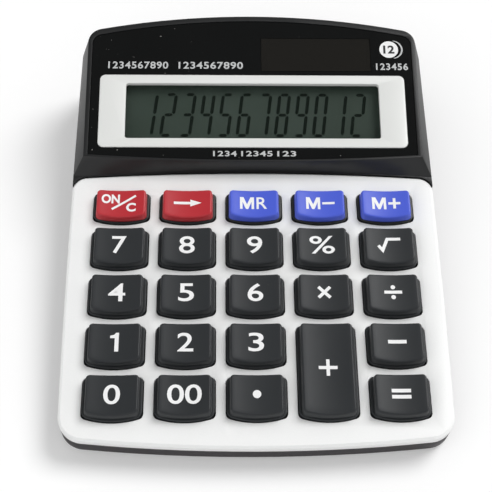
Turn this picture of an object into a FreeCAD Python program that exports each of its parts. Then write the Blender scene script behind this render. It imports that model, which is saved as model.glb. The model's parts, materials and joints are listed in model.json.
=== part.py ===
import FreeCAD, Part
import math
import os

# A desk calculator: a white keyboard cover and a black display housing on one
# charcoal bottom case, with 24 sprung keys and a sliding battery cover.
#
# Three frames are used, all in millimetres.
#   desk frame    X right, Y away from the user, Z up, desk surface at Z = 0
#   deck frame    the keyboard cover: x right, y up the slope, z normal to it,
#                 origin at the middle of the cover's flat top surface
#   fascia frame  the display face: x right, y up its slope, z normal to it,
#                 origin at the middle of the fold where the face begins

# ---- Overall size ---------------------------------------------------------
BODY_WIDTH = 122.0          # across the widest place
BODY_LENGTH = 155.5         # front to back, measured along the deck
SIDE_BARREL = 0.7           # how far each long side bows out
FRONT_BOW = 3.4             # bow of the front edge over the full width
BACK_BOW = 7.3              # bow of the back edge over the full width
FRONT_CORNER = 8.0
BACK_CORNER = 6.0
WALL = 2.0                  # walls of all three shells
DECK_TILT = 5.0             # degrees, deck to desk
FRONT_HEIGHT = 10.5         # desk to the deck surface at the front edge
FOOT_HEIGHT = 1.0           # gap under the bottom case
FLOOR = 1.6                 # thickness of the bottom case floor
FLOOR_CHAMFER = 1.0         # bevel round the underside
SHELL_DEPTH = 3.2           # deck surface down to the parting line

# ---- Keyboard cover -------------------------------------------------------
COVER_LENGTH = 97.2
COVER_BACK_BOW = 2.3
COVER_BACK_CORNER = 5.0
COVER_PLATE = 2.0           # thickness of the deck plate
COVER_BEVEL = 0.8           # bevel round the deck's edge
SHELL_GAP = 0.25            # line between the cover and the display housing

# ---- Display housing ------------------------------------------------------
FACE_TILT = 8.3             # degrees, display face to deck
FOLD_BEHIND_COVER = 0.9     # the fold at the middle, behind the cover's back edge
FOLD_ABOVE_BAY = 5.94       # the fold at the middle, above the battery bay's ceiling
HEAD_FLARE = 3.7            # each side leans in by this, deck level to top
BACK_LEAN = 1.2             # and the back by this
FACE_FRONT_BOW = 1.9
FACE_BACK_BOW = 6.2
RAMP_LEDGE = 0.3            # ledge between the cover and the foot of the ramp
RAMP_WALL = 2.6             # wall of the ramp, measured along the deck
HEAD_CORNER = 5.0
RIM_SIDE = 1.55             # rim beside the fascia
RIM_FRONT = 0.8
RIM_BACK = 2.0
FASCIA_SUNK = 0.3           # fascia surface below the rim
FASCIA_THICKNESS = 1.5
ROOF = 1.6                  # housing wall under the fascia
FIT = 0.15                  # clearance round inset plates

# ---- Display --------------------------------------------------------------
VIEW_WIDTH = 87.4           # what shows of the display
VIEW_LENGTH = 20.9
VIEW_CORNER = 1.0
BEZEL_SIDE = 9.05           # frame beside the view
BEZEL_BAND = 3.35           # frame above and below the view
BEZEL_Y = 19.15             # fascia y of the bezel's middle
BEZEL_PROUD = 0.2           # bezel above the fascia
BEZEL_CORNER = 2.0
PANE_LAP = 1.8              # how far the pane reaches under the bezel
PANE_THICKNESS = 1.0
LCD_SIDE = 3.3              # glass beyond the view
LCD_BAND = 3.05
LCD_THICKNESS = 2.0
LCD_GAP = 0.1
HOLDER_SIDE = 5.2           # holder beyond the glass
HOLDER_BAND = 1.1
HOLDER_DEPTH = 4.0
STRIP_WIDTH = 1.6
DISPLAY_BOARD = 1.2
CHIP_BLOB = 10.4            # resin over the chip, across
CHIP_BLOB_HEIGHT = 1.44
CHIP_X = -18.8
CAPACITOR = (6.0, 4.0, 2.5)     # across, along, thick
CAPACITOR_X = 23.5
RESISTOR = (3.2, 1.6, 0.7)
RESISTOR_X = 9.4
RESISTOR_Y = 4.0            # each side of the board's middle
SOLAR_WIDTH = 38.2
SOLAR_LENGTH = 12.8
SOLAR_X = 22.2
SOLAR_Y = 41.1
SOLAR_LAP = 1.2
SOLAR_CELL = 1.1

# ---- Keys -----------------------------------------------------------------
COLUMN_PITCH = 22.0
ROW_PITCH = 17.15
THIRD_ROW_BACK = 8.2        # deck y of the back of the third row
KEY_WIDTH = 18.4
KEY_DEPTH = 12.6            # back to front corners
KEY_BOW = 1.7
KEY_CORNER = 1.6
TOP_ROW_STEP = 31.5         # third row's back to the top row's back
TOP_ROW_DEPTH = 9.9
SKIRT_RISE = 1.0            # key skirt above the deck
CAP_INSET = 0.85            # cap foot inside the skirt
CAP_DRAFT = 0.8             # cap top inside the cap foot
CAP_RISE = 3.9              # cap above the deck
CAP_BOW = 1.1
CAP_CORNER = 1.3
DISH_DEPTH = 0.7
KEY_WALL = 1.3
KEY_GAP = 0.3               # key to aperture
LIP_WIDTH = 0.8
LIP_THICKNESS = 1.0
LIP_SETBACK = 2.0           # lip ends short of the key's corners
LIP_GAP = 0.05              # lip under the plate
TRAVEL = 1.4
PLUNGER = 4.0
PLUNGER_DROP = 0.55         # plunger below the lip

# ---- Keypad and main board ------------------------------------------------
MAT_THICKNESS = 1.0
LIP_CLEAR = 0.1             # pressed key's lip above the mat
DOME_FOOT = 7.0
DOME_TOP = 5.0
BOARD_THICKNESS = 1.4
BOARD_SIDE = 9.0            # board beyond the outer columns' middles
BOARD_FRONT_GAP = 5.95      # cover's edge to the board's edge
BOARD_BACK_GAP = 3.75
MAT_INSET = 0.6
MAT_BACK_INSET = 3.0        # bare strip at the back of the board
DECK_BOSS = 3.0

# ---- Screws and feet ------------------------------------------------------
SCREW = 1.6
SCREW_HEAD = 3.0
SCREW_HEAD_HEIGHT = 1.0
SLOT_LENGTH = 0.7           # cross slot, as a share of any screw's head
SLOT_WIDTH = 0.16
CASE_SCREW = 2.2
CASE_SCREW_HEAD = 4.0
CASE_SCREW_HEAD_HEIGHT = 1.4
CASE_WEB = 1.2              # plastic under a case screw's head
THREAD_GAP = 0.05
HEAD_GAP = 0.2
CASE_POST = 5.6
CASE_BOSS = 4.0
BOSS_GAP = 0.1              # case boss to the case wall
CASE_SCREW_Y = (-35.65, 35.35)
CASE_BOSS_DROP = 3.0        # cover boss below the deck plate
HEAD_SCREW_IN = 5.8         # screw to the top face's side edge
HEAD_SCREW_BACK = 12.05     # screw to the body's back edge
FOOT = 9.0
FOOT_SUNK = 0.6
FOOT_IN = 18.3
FOOT_INSET = 13.0

# ---- Battery bay ----------------------------------------------------------
CELL = 14.5
CELL_LENGTH = 49.5
CELL_NUB = 5.5
CELL_NUB_LENGTH = 1.0
CELL_GAP = 0.4
BAY_LENGTH = 58.0
BAY_FROM_BACK = 22.0        # cell axis to the inner back wall
DOOR_OVERLAP = 2.0          # door beyond the bay on each side
DOOR_GAP = 0.2
DOOR_THICKNESS = 1.6
TONGUE = 0.8
TONGUE_WIDTH = 1.2
RAIL = 1.2
CONTACT = 0.5
CONTACT_WIDTH = 10.0
CONTACT_HEIGHT = 11.0
SPRING_WIRE = 0.8
SPRING_TURNS = 4
SPRING_FOOT = 9.0
SPRING_TOP = 5.0
LEAD = 0.9
RIBBON_WIDTH = 30.0
RIBBON = 0.3

# ---- Worked out -----------------------------------------------------------
HALF_WIDTH = BODY_WIDTH / 2.0 - SIDE_BARREL
BODY_FRONT = -COVER_LENGTH / 2.0
BODY_BACK = BODY_FRONT + BODY_LENGTH
FOLD_Y = COVER_LENGTH / 2.0 + FOLD_BEHIND_COVER
RAMP_FOOT_Y = COVER_LENGTH / 2.0 + SHELL_GAP + RAMP_LEDGE
RAMP_FOOT_BOW = COVER_BACK_BOW * (BODY_WIDTH / 2.0 / HALF_WIDTH) ** 2
FACE_WIDTH = BODY_WIDTH - 2 * HEAD_FLARE
FACE_LENGTH = BODY_BACK - FOLD_Y - BACK_LEAN
TOP_ROW_BACK = THIRD_ROW_BACK + TOP_ROW_STEP
BOARD_WIDTH = 4 * COLUMN_PITCH + 2 * BOARD_SIDE
BOARD_FRONT = BODY_FRONT + BOARD_FRONT_GAP
BOARD_BACK = COVER_LENGTH / 2.0 - BOARD_BACK_GAP
CASE_SCREW_X = HALF_WIDTH - WALL - BOSS_GAP - CASE_BOSS / 2.0
HEAD_SCREW_X = FACE_WIDTH / 2.0 - HEAD_SCREW_IN
HEAD_SCREW_Y = BODY_BACK - HEAD_SCREW_BACK
FOOT_X = HALF_WIDTH - FOOT_IN
BEZEL_WIDTH = VIEW_WIDTH + 2 * BEZEL_SIDE
BEZEL_LENGTH = VIEW_LENGTH + 2 * BEZEL_BAND
LCD_WIDTH = VIEW_WIDTH + 2 * LCD_SIDE
LCD_LENGTH = VIEW_LENGTH + 2 * LCD_BAND
HOLDER_WIDTH = LCD_WIDTH + 2 * HOLDER_SIDE
HOLDER_LENGTH = LCD_LENGTH + 2 * HOLDER_BAND
TILT = math.radians(DECK_TILT)
DECK_Z = FRONT_HEIGHT - BODY_FRONT * math.sin(TILT)
BACK_EDGE_Z = FOOT_HEIGHT + FLOOR_CHAMFER
BACK_EDGE_DEPTH = (BACK_EDGE_Z - DECK_Z - BODY_BACK * math.sin(TILT)) / math.cos(TILT)
FRONT_REACH = BODY_FRONT * math.cos(TILT) + COVER_BEVEL * math.sin(TILT)
BACK_REACH = BODY_BACK * math.cos(TILT) - BACK_EDGE_DEPTH * math.sin(TILT)
DECK_Y = -(FRONT_REACH + BACK_REACH) / 2.0

FLOOR_TOP = FOOT_HEIGHT + FLOOR
INNER_BACK = BACK_REACH + DECK_Y - WALL
BAY_Y = INNER_BACK - BAY_FROM_BACK
BAY_HALF = CELL / 2.0 + CELL_GAP
BAY_FRONT = BAY_Y - BAY_HALF
CELL_Z = FLOOR_TOP + TONGUE + CELL_GAP / 2.0 + CELL / 2.0
BAY_TOP = CELL_Z + CELL / 2.0 + CELL_GAP
DOOR_HALF = BAY_LENGTH / 2.0 + DOOR_OVERLAP
DOOR_FRONT = BAY_FRONT - DOOR_OVERLAP
FOLD_Z = (BAY_TOP + FOLD_ABOVE_BAY - DECK_Z - FOLD_Y * math.sin(TILT)) / math.cos(TILT)

X_AXIS = FreeCAD.Vector(1, 0, 0)
DECK = FreeCAD.Placement(FreeCAD.Vector(0, DECK_Y, DECK_Z), FreeCAD.Rotation(X_AXIS, DECK_TILT))
FACE_ON_DECK = FreeCAD.Placement(
    FreeCAD.Vector(0, FOLD_Y, FOLD_Z), FreeCAD.Rotation(X_AXIS, FACE_TILT))
FACE = DECK.multiply(FACE_ON_DECK)

FASCIA_TOP = -FASCIA_SUNK
FASCIA_UNDER = FASCIA_TOP - FASCIA_THICKNESS
ROOF_UNDER = FASCIA_UNDER - ROOF
PANE_UNDER = FASCIA_UNDER - PANE_THICKNESS
LCD_TOP = ROOF_UNDER - LCD_GAP
LCD_UNDER = LCD_TOP - LCD_THICKNESS
BOARD_TOP_FACE = ROOF_UNDER - HOLDER_DEPTH
BOARD_UNDER_FACE = BOARD_TOP_FACE - DISPLAY_BOARD
HOLDER_POST_X = (LCD_WIDTH + HOLDER_WIDTH) / 4.0 + FIT / 2.0
HOLDER_POST_Y = HOLDER_LENGTH / 2.0 - (HOLDER_WIDTH - LCD_WIDTH) / 4.0

LIP_TOP = -COVER_PLATE - LIP_GAP
LIP_UNDER = LIP_TOP - LIP_THICKNESS
PLUNGER_TIP = LIP_UNDER - PLUNGER_DROP
DOME_HEIGHT = TRAVEL + LIP_CLEAR - PLUNGER_DROP
MAT_UNDER = PLUNGER_TIP - DOME_HEIGHT - MAT_THICKNESS
MAT_TOP = MAT_UNDER + MAT_THICKNESS
BOARD_UNDER = MAT_UNDER - BOARD_THICKNESS
BOARD_SCREW_ROWS = (
    THIRD_ROW_BACK + (ROW_PITCH - KEY_DEPTH - KEY_BOW) / 2.0,
    THIRD_ROW_BACK - ROW_PITCH + (ROW_PITCH - KEY_DEPTH - KEY_BOW) / 2.0)
BOARD_SCREW_COLUMNS = (-1.5, -0.5, 0.5, 1.5)


# ---- Small builders -------------------------------------------------------
def box(x0, x1, y0, y1, z0, z1):
    return Part.makeBox(x1 - x0, y1 - y0, z1 - z0, FreeCAD.Vector(x0, y0, z0))


def plate(width, length, z0, z1, x=0.0, y=0.0, corner=0.0):
    """A plate centred on x, y, with rounded corners if asked."""
    solid = box(x - width / 2.0, x + width / 2.0, y - length / 2.0, y + length / 2.0, z0, z1)
    return round_corners(solid, corner) if corner else solid


def pin(diameter, z0, z1, x=0.0, y=0.0):
    return Part.makeCylinder(diameter / 2.0, z1 - z0, FreeCAD.Vector(x, y, z0))


def placed(shape, frame):
    result = shape.copy()
    result.Placement = frame.multiply(result.Placement)
    return result


def fused(shapes):
    first = shapes[0]
    rest = shapes[1:]
    return first.fuse(rest).removeSplitter() if rest else first


def upright_edges(solid, chosen):
    """The straight edges along z whose x, y place passes the test."""
    found = []
    for edge in solid.Edges:
        if len(edge.Vertexes) != 2:
            continue
        a = edge.Vertexes[0].Point
        b = edge.Vertexes[1].Point
        if math.hypot(a.x - b.x, a.y - b.y) < 1e-6 and chosen(a.x, a.y):
            found.append(edge)
    return found


def round_corners(solid, radius, chosen=lambda x, y: True):
    return solid.makeFillet(radius, upright_edges(solid, chosen))


def bowed_wire(half_width, front, back, front_bow, back_bow, z, barrel=0.0):
    """A four-sided outline whose front and back edges bow away from its middle.

    A negative bow curves the edge inwards.
    """
    front_left = FreeCAD.Vector(-half_width, front + front_bow, z)
    front_right = FreeCAD.Vector(half_width, front + front_bow, z)
    back_left = FreeCAD.Vector(-half_width, back - back_bow, z)
    back_right = FreeCAD.Vector(half_width, back - back_bow, z)
    middle = (front + front_bow + back - back_bow) / 2.0
    edges = [Part.Arc(front_left, FreeCAD.Vector(0, front, z), front_right).toShape()]
    if barrel:
        bulge = FreeCAD.Vector(half_width + barrel, middle, z)
        edges.append(Part.Arc(front_right, bulge, back_right).toShape())
    else:
        edges.append(Part.LineSegment(front_right, back_right).toShape())
    if back_bow:
        edges.append(Part.Arc(back_right, FreeCAD.Vector(0, back, z), back_left).toShape())
    else:
        edges.append(Part.LineSegment(back_right, back_left).toShape())
    if barrel:
        bulge = FreeCAD.Vector(-half_width - barrel, middle, z)
        edges.append(Part.Arc(back_left, bulge, front_left).toShape())
    else:
        edges.append(Part.LineSegment(back_left, front_left).toShape())
    return Part.Wire(edges)


def prism(wire, height):
    return Part.Face(wire).extrude(FreeCAD.Vector(0, 0, height))


def screw(diameter, head, head_height, tip_z, seat_z, x, y):
    """A pan head screw driven upwards, its head under the seat."""
    shank = pin(diameter, seat_z, tip_z, x, y)
    cap = pin(head, seat_z - head_height, seat_z, x, y)
    slot_depth = head_height / 2.0
    long = head * SLOT_LENGTH
    narrow = head * SLOT_WIDTH
    head_z = seat_z - head_height
    slot = plate(long, narrow, head_z, head_z + slot_depth, x, y)
    cross = plate(narrow, long, head_z, head_z + slot_depth, x, y)
    return shank.fuse(cap).cut(slot).cut(cross)


def wire_run(points, diameter, bend):
    """A round wire through the points, each corner an arc of the bend radius."""
    vectors = [FreeCAD.Vector(*point) for point in points]
    edges = []
    start = vectors[0]
    for i in range(1, len(vectors) - 1):
        into = (vectors[i] - vectors[i - 1]).normalize()
        out = (vectors[i + 1] - vectors[i]).normalize()
        half_turn = into.getAngle(out) / 2.0
        back_off = bend * math.tan(half_turn)
        arc_start = vectors[i] - into * back_off
        arc_end = vectors[i] + out * back_off
        inward = (out - into).normalize()
        arc_middle = vectors[i] + inward * (bend / math.cos(half_turn) - bend)
        edges.append(Part.LineSegment(start, arc_start).toShape())
        edges.append(Part.Arc(arc_start, arc_middle, arc_end).toShape())
        start = arc_end
    edges.append(Part.LineSegment(start, vectors[-1]).toShape())
    path = Part.Wire(edges)
    direction = vectors[1] - vectors[0]
    section = Part.Wire(Part.makeCircle(diameter / 2.0, vectors[0], direction))
    return path.makePipeShell([section], True, False)


# ---- Key layout -----------------------------------------------------------
def row_back(row):
    """Deck y of the back edge of a row; row 1 is the short row at the back."""
    if row == 1:
        return TOP_ROW_BACK
    return THIRD_ROW_BACK + (3 - row) * ROW_PITCH


def column_x(column):
    return (column - 2) * COLUMN_PITCH


KEY_NAMES = {
    (1, 0): "key_on_clear", (1, 1): "key_shift", (1, 2): "key_memory_recall",
    (1, 3): "key_memory_minus", (1, 4): "key_memory_plus",
    (2, 0): "key_7", (2, 1): "key_8", (2, 2): "key_9", (2, 3): "key_percent", (2, 4): "key_root",
    (3, 0): "key_4", (3, 1): "key_5", (3, 2): "key_6", (3, 3): "key_times", (3, 4): "key_divide",
    (4, 0): "key_1", (4, 1): "key_2", (4, 2): "key_3", (4, 3): "key_plus", (4, 4): "key_minus",
    (5, 0): "key_0", (5, 1): "key_00", (5, 2): "key_point", (5, 4): "key_equals",
}


def key_depth(row, column):
    if row == 1:
        return TOP_ROW_DEPTH
    if KEY_NAMES[(row, column)] == "key_plus":
        return ROW_PITCH + KEY_DEPTH
    return KEY_DEPTH


def key_block(depth, z0, z1, grow=0.0):
    """A key's skirt as a plain block, its back edge at y = 0."""
    front = -depth - KEY_BOW - grow
    wire = bowed_wire(KEY_WIDTH / 2.0 + grow, front, grow, KEY_BOW, 0.0, z0)
    return round_corners(prism(wire, z1 - z0), KEY_CORNER + grow)


def cap_block(depth):
    """The raised cap: drafted sides, dished across, bowed front."""
    foot_half = KEY_WIDTH / 2.0 - CAP_INSET
    top_half = foot_half - CAP_DRAFT
    foot = bowed_wire(foot_half, -depth - CAP_BOW, -CAP_DRAFT / 2.0, CAP_BOW, 0.0, SKIRT_RISE)
    top = bowed_wire(top_half, -depth - CAP_BOW + CAP_DRAFT / 2.0, -CAP_DRAFT, CAP_BOW, 0.0, CAP_RISE)
    block = Part.makeLoft([foot, top], True, True)
    corners = [e for e in block.Edges if abs(e.Vertexes[0].Z - e.Vertexes[-1].Z) > CAP_DRAFT]
    block = block.makeFillet(CAP_CORNER, corners)
    radius = (top_half ** 2 + DISH_DEPTH ** 2) / (2.0 * DISH_DEPTH)
    dish = Part.makeCylinder(
        radius, depth * 3.0, FreeCAD.Vector(0, depth, CAP_RISE - DISH_DEPTH + radius),
        FreeCAD.Vector(0, -1, 0))
    return block.cut(dish)


def key_skirt(depth):
    """Skirt, retaining lips and plunger, hollow from below."""
    skirt = key_block(depth, LIP_UNDER, SKIRT_RISE)
    lip_reach = KEY_WIDTH / 2.0 + LIP_WIDTH
    lips = box(-lip_reach, lip_reach, -depth + LIP_SETBACK, -LIP_SETBACK, LIP_UNDER, LIP_TOP)
    hollow = box(
        -KEY_WIDTH / 2.0 + KEY_WALL, KEY_WIDTH / 2.0 - KEY_WALL,
        -depth + KEY_WALL, -KEY_WALL, LIP_UNDER, SKIRT_RISE - KEY_WALL)
    plunger = pin(PLUNGER, PLUNGER_TIP, SKIRT_RISE - KEY_WALL / 2.0, 0.0, -depth / 2.0)
    return skirt.fuse(lips).cut(hollow).fuse(plunger)


def export_keys(parts):
    for (row, column), name in KEY_NAMES.items():
        depth = key_depth(row, column)
        seat = DECK.multiply(FreeCAD.Placement(
            FreeCAD.Vector(column_x(column), row_back(row), 0), FreeCAD.Rotation()))
        if row == 1:
            parts[name + "_base"] = placed(key_skirt(depth), seat)
            parts[name + "_cap"] = placed(cap_block(depth), seat)
        else:
            parts[name] = placed(fused([key_skirt(depth), cap_block(depth)]), seat)


# ---- Shells ---------------------------------------------------------------
def body_block(z0, z1, inset=0.0):
    """The whole body's outline, from z0 to z1 in the deck frame."""
    wire = bowed_wire(
        HALF_WIDTH - inset, BODY_FRONT + inset, BODY_BACK - inset, FRONT_BOW, BACK_BOW, z0,
        SIDE_BARREL)
    block = prism(wire, z1 - z0)
    block = round_corners(block, FRONT_CORNER - inset, lambda x, y: y < 0)
    return round_corners(block, BACK_CORNER - inset, lambda x, y: y > COVER_LENGTH / 2.0)


def cover_block(z0, z1, grow=0.0):
    """The keyboard cover's outline, with its own rounded back corners."""
    beyond = BODY_WIDTH
    back_wire = bowed_wire(
        beyond, BODY_FRONT - beyond, COVER_LENGTH / 2.0 + grow, 0.01,
        COVER_BACK_BOW * (beyond / HALF_WIDTH) ** 2, z0)
    block = body_block(z0, z1, -grow).common(prism(back_wire, z1 - z0))
    return round_corners(
        block, COVER_BACK_CORNER + grow, lambda x, y: abs(x) > HALF_WIDTH - WALL and y > HALF_WIDTH / 2.0)


def bevel_top(solid, z, size):
    """Bevel the outline of the face at height z."""
    edges = [e for e in solid.Edges if all(abs(v.Z - z) < 1e-6 for v in e.Vertexes)]
    return solid.makeChamfer(size, edges)


def deck_screw_places():
    """Board screws sit where the gaps between rows and columns cross."""
    places = []
    for y in BOARD_SCREW_ROWS:
        for column in BOARD_SCREW_COLUMNS:
            if y > 0 or abs(column) > 1:
                places.append((column * COLUMN_PITCH, y))
    return places


def case_screw_places():
    return [(side * CASE_SCREW_X, y) for side in (-1, 1) for y in CASE_SCREW_Y]


def keyboard_cover():
    shell = bevel_top(cover_block(-SHELL_DEPTH, 0.0), 0.0, COVER_BEVEL)
    inside = cover_block(-SHELL_DEPTH, -COVER_PLATE, -WALL)
    shell = shell.cut(inside)
    bosses = [pin(DECK_BOSS, MAT_UNDER, -COVER_PLATE, x, y) for x, y in deck_screw_places()]
    for x, y in case_screw_places():
        bosses.append(pin(CASE_BOSS, -COVER_PLATE - CASE_BOSS_DROP, -COVER_PLATE, x, y))
    shell = shell.fuse(bosses)
    holes = []
    for (row, column) in KEY_NAMES:
        hole = key_block(key_depth(row, column), -COVER_PLATE, 0.0, KEY_GAP)
        hole.translate(FreeCAD.Vector(column_x(column), row_back(row), 0))
        holes.append(hole)
    for x, y in deck_screw_places():
        holes.append(pin(SCREW + 2 * THREAD_GAP, MAT_UNDER, -COVER_PLATE, x, y))
    for x, y in case_screw_places():
        top = -COVER_PLATE / 2.0
        holes.append(pin(CASE_SCREW + 2 * THREAD_GAP, -COVER_PLATE - CASE_BOSS_DROP, top, x, y))
    return placed(shell.cut(holes), DECK)


def face_wire(half_width, front, back, z):
    wire = bowed_wire(half_width, front, back, FACE_FRONT_BOW, FACE_BACK_BOW, z)
    return placed(wire, FACE_ON_DECK)


def head_block(inset, drop, corner=0.0):
    """The display housing's body: a collar up to deck level, then a loft to the display face."""
    front = RAMP_FOOT_Y + inset * RAMP_WALL / WALL
    outline = (BODY_WIDTH / 2.0 - inset, front, BODY_BACK - inset, -RAMP_FOOT_BOW, BACK_BOW)
    top = face_wire(FACE_WIDTH / 2.0 - inset, inset, FACE_LENGTH - inset, -drop)
    block = Part.makeLoft([bowed_wire(*outline, 0.0), top], True, True)
    if corner:
        middle = FOLD_Y + FACE_LENGTH / 2.0
        slanted = [
            e for e in block.Edges
            if min(v.Y for v in e.Vertexes) > middle and max(v.Z for v in e.Vertexes) > SHELL_DEPTH
            and min(v.Z for v in e.Vertexes) < SHELL_DEPTH]
        block = block.makeFillet(corner, slanted)
    collar = prism(bowed_wire(*outline, -SHELL_DEPTH), SHELL_DEPTH)
    return block.fuse(collar).common(body_block(-SHELL_DEPTH, BODY_LENGTH, inset))


def face_tool(shape):
    """A cutting shape drawn in the fascia frame, moved to the deck frame."""
    return placed(shape, FACE_ON_DECK)


def fascia_block(z0, z1, grow=0.0):
    wire = bowed_wire(
        FACE_WIDTH / 2.0 - RIM_SIDE + grow, RIM_FRONT - grow, FACE_LENGTH - RIM_BACK + grow,
        FACE_FRONT_BOW, FACE_BACK_BOW, z0)
    block = prism(wire, z1 - z0)
    corner = HEAD_CORNER - RIM_SIDE
    return round_corners(block, corner + grow, lambda x, y: y > FACE_LENGTH / 2.0)


def holder_screw_places():
    return [(a * HOLDER_POST_X, BEZEL_Y + b * HOLDER_POST_Y) for a in (-1, 1) for b in (-1, 1)]


def display_housing():
    outer = head_block(0.0, 0.0, HEAD_CORNER)
    horn_y = COVER_LENGTH / 2.0 - 2 * COVER_BACK_CORNER
    horns = body_block(-SHELL_DEPTH, 0.0).common(
        box(-BODY_WIDTH, BODY_WIDTH, horn_y, RAMP_FOOT_Y, -SHELL_DEPTH, 0.0))
    outer = outer.fuse(horns).cut(cover_block(-SHELL_DEPTH - WALL, 0.0, SHELL_GAP))
    shell = outer.cut(head_block(WALL, -ROOF_UNDER))
    bosses = []
    for side in (-1, 1):
        boss = pin(CASE_POST, -SHELL_DEPTH, FOLD_Z + FACE_LENGTH / 4.0, side * HEAD_SCREW_X, HEAD_SCREW_Y)
        bosses.append(boss.common(head_block(WALL / 2.0, -ROOF_UNDER - ROOF / 2.0)))
    shell = shell.fuse(bosses)
    for side in (-1, 1):
        pilot = pin(
            CASE_SCREW + 2 * THREAD_GAP, -SHELL_DEPTH, FOLD_Z - ROOF, side * HEAD_SCREW_X, HEAD_SCREW_Y)
        shell = shell.cut(pilot)
    shell = shell.cut(face_tool(fascia_block(FASCIA_UNDER, WALL, FIT)))
    pane = plate(
        VIEW_WIDTH + 2 * (PANE_LAP + FIT), VIEW_LENGTH + 2 * (PANE_LAP + FIT),
        PANE_UNDER, FASCIA_UNDER, 0, BEZEL_Y)
    view = plate(VIEW_WIDTH + PANE_LAP, VIEW_LENGTH + PANE_LAP, ROOF_UNDER, PANE_UNDER, 0, BEZEL_Y)
    sun = plate(
        SOLAR_WIDTH - 2 * SOLAR_LAP, SOLAR_LENGTH - 2 * SOLAR_LAP, ROOF_UNDER, FASCIA_UNDER,
        SOLAR_X, SOLAR_Y)
    tools = [pane, view, sun]
    for x, y in holder_screw_places():
        tools.append(pin(SCREW + 2 * THREAD_GAP, ROOF_UNDER, FASCIA_UNDER - THREAD_GAP, x, y))
    shell = shell.cut([face_tool(tool) for tool in tools])
    return placed(shell, DECK)


def case_post(x, y, top, diameter):
    return pin(diameter, -DECK_Z - BODY_LENGTH * math.sin(TILT), top, x, y)


def head_screw_places():
    return [(side * HEAD_SCREW_X, HEAD_SCREW_Y) for side in (-1, 1)]


def floor_depth(y):
    """Deck z of the underside of the floor at deck y."""
    return (FOOT_HEIGHT - DECK_Z - y * math.sin(TILT)) / math.cos(TILT)


def slab_above(z):
    """Everything above a height over the desk."""
    return box(-BODY_WIDTH, BODY_WIDTH, -BODY_LENGTH, BODY_LENGTH, z, 2 * BODY_WIDTH)


def case_block():
    """The bottom case before it is hollowed, with its bevelled underside."""
    deep = floor_depth(BODY_BACK) - FLOOR
    block = placed(body_block(deep, -SHELL_DEPTH), DECK).common(slab_above(FOOT_HEIGHT))
    rim = [e for e in block.Edges if all(abs(v.Z - FOOT_HEIGHT) < 1e-4 for v in e.Vertexes)]
    return block.makeChamfer(FLOOR_CHAMFER, rim)


def case_hollow():
    deep = floor_depth(BODY_BACK) - FLOOR
    return placed(body_block(deep, -SHELL_DEPTH, WALL), DECK).common(slab_above(FLOOR_TOP))


def bottom_case():
    case = case_block().cut(case_hollow())
    case = case.fuse(case_posts() + bay_walls())
    return case.cut(screw_wells() + bay_cuts() + foot_wells())


def case_posts():
    posts = []
    for x, y in case_screw_places():
        posts.append(case_post(x, y, -COVER_PLATE - CASE_BOSS_DROP, CASE_POST))
    for x, y in head_screw_places():
        posts.append(case_post(x, y, -SHELL_DEPTH, CASE_POST))
    inside = placed(body_block(-BODY_LENGTH, 0.0, WALL / 2.0), DECK).common(slab_above(FOOT_HEIGHT))
    return [placed(post, DECK).common(inside) for post in posts]


def screw_seat(x, y):
    """Deck z of the seat under a case screw's head."""
    top = -COVER_PLATE - CASE_BOSS_DROP if abs(x) == CASE_SCREW_X else -SHELL_DEPTH
    return top - CASE_WEB


def screw_wells():
    wells = []
    for x, y in case_screw_places() + head_screw_places():
        seat = screw_seat(x, y)
        wells.append(pin(CASE_SCREW_HEAD + 2 * HEAD_GAP, floor_depth(y) - FLOOR, seat, x, y))
        wells.append(pin(CASE_SCREW + 2 * HEAD_GAP, seat, seat + CASE_WEB, x, y))
    return [placed(well, DECK) for well in wells]


def bay_walls():
    """Box over the cell, and the rails that hold the door's tongues."""
    outer = box(
        -BAY_LENGTH / 2.0 - WALL / 2.0, BAY_LENGTH / 2.0 + WALL / 2.0,
        BAY_FRONT - WALL / 2.0, BAY_Y + BAY_HALF + WALL / 2.0, FLOOR_TOP, BAY_TOP + WALL / 2.0)
    rails = []
    inner = BAY_LENGTH / 2.0
    reach = DOOR_HALF + TONGUE_WIDTH + DOOR_GAP + RAIL
    rail_top = FLOOR_TOP + TONGUE + DOOR_GAP + RAIL
    for x0, x1 in ((-reach, -inner), (inner, reach)):
        rails.append(box(x0, x1, DOOR_FRONT, BAY_Y + BAY_HALF + WALL / 2.0, FLOOR_TOP, rail_top))
    return [outer] + rails


def bay_cuts():
    bay = box(
        -BAY_LENGTH / 2.0, BAY_LENGTH / 2.0, BAY_FRONT, BAY_Y + BAY_HALF, FOOT_HEIGHT, BAY_TOP)
    way_out = INNER_BACK + 2 * WALL
    door_half = DOOR_HALF + DOOR_GAP
    opening = box(-door_half, door_half, DOOR_FRONT - DOOR_GAP, way_out, FOOT_HEIGHT, FLOOR_TOP)
    tongue_half = door_half + TONGUE_WIDTH
    slot = box(
        -tongue_half, tongue_half, DOOR_FRONT - DOOR_GAP, way_out,
        FLOOR_TOP, FLOOR_TOP + TONGUE + DOOR_GAP)
    tabs = []
    for side in (-1, 1):
        x = side * (BAY_LENGTH / 2.0 - CONTACT)
        tabs.append(plate(2 * CONTACT, CONTACT_WIDTH / 2.0, BAY_TOP, BAY_TOP + WALL, x, BAY_Y))
    return [bay, opening, slot] + tabs


def foot_places():
    front = FRONT_REACH + DECK_Y + FOOT_INSET
    back = BACK_REACH + DECK_Y - FOOT_INSET - BACK_BOW / 2.0
    return [(side * FOOT_X, y) for side in (-1, 1) for y in (front, back)]


def foot_wells():
    return [pin(FOOT + 2 * FIT, FOOT_HEIGHT, FOOT_HEIGHT + FOOT_SUNK, x, y) for x, y in foot_places()]


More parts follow.
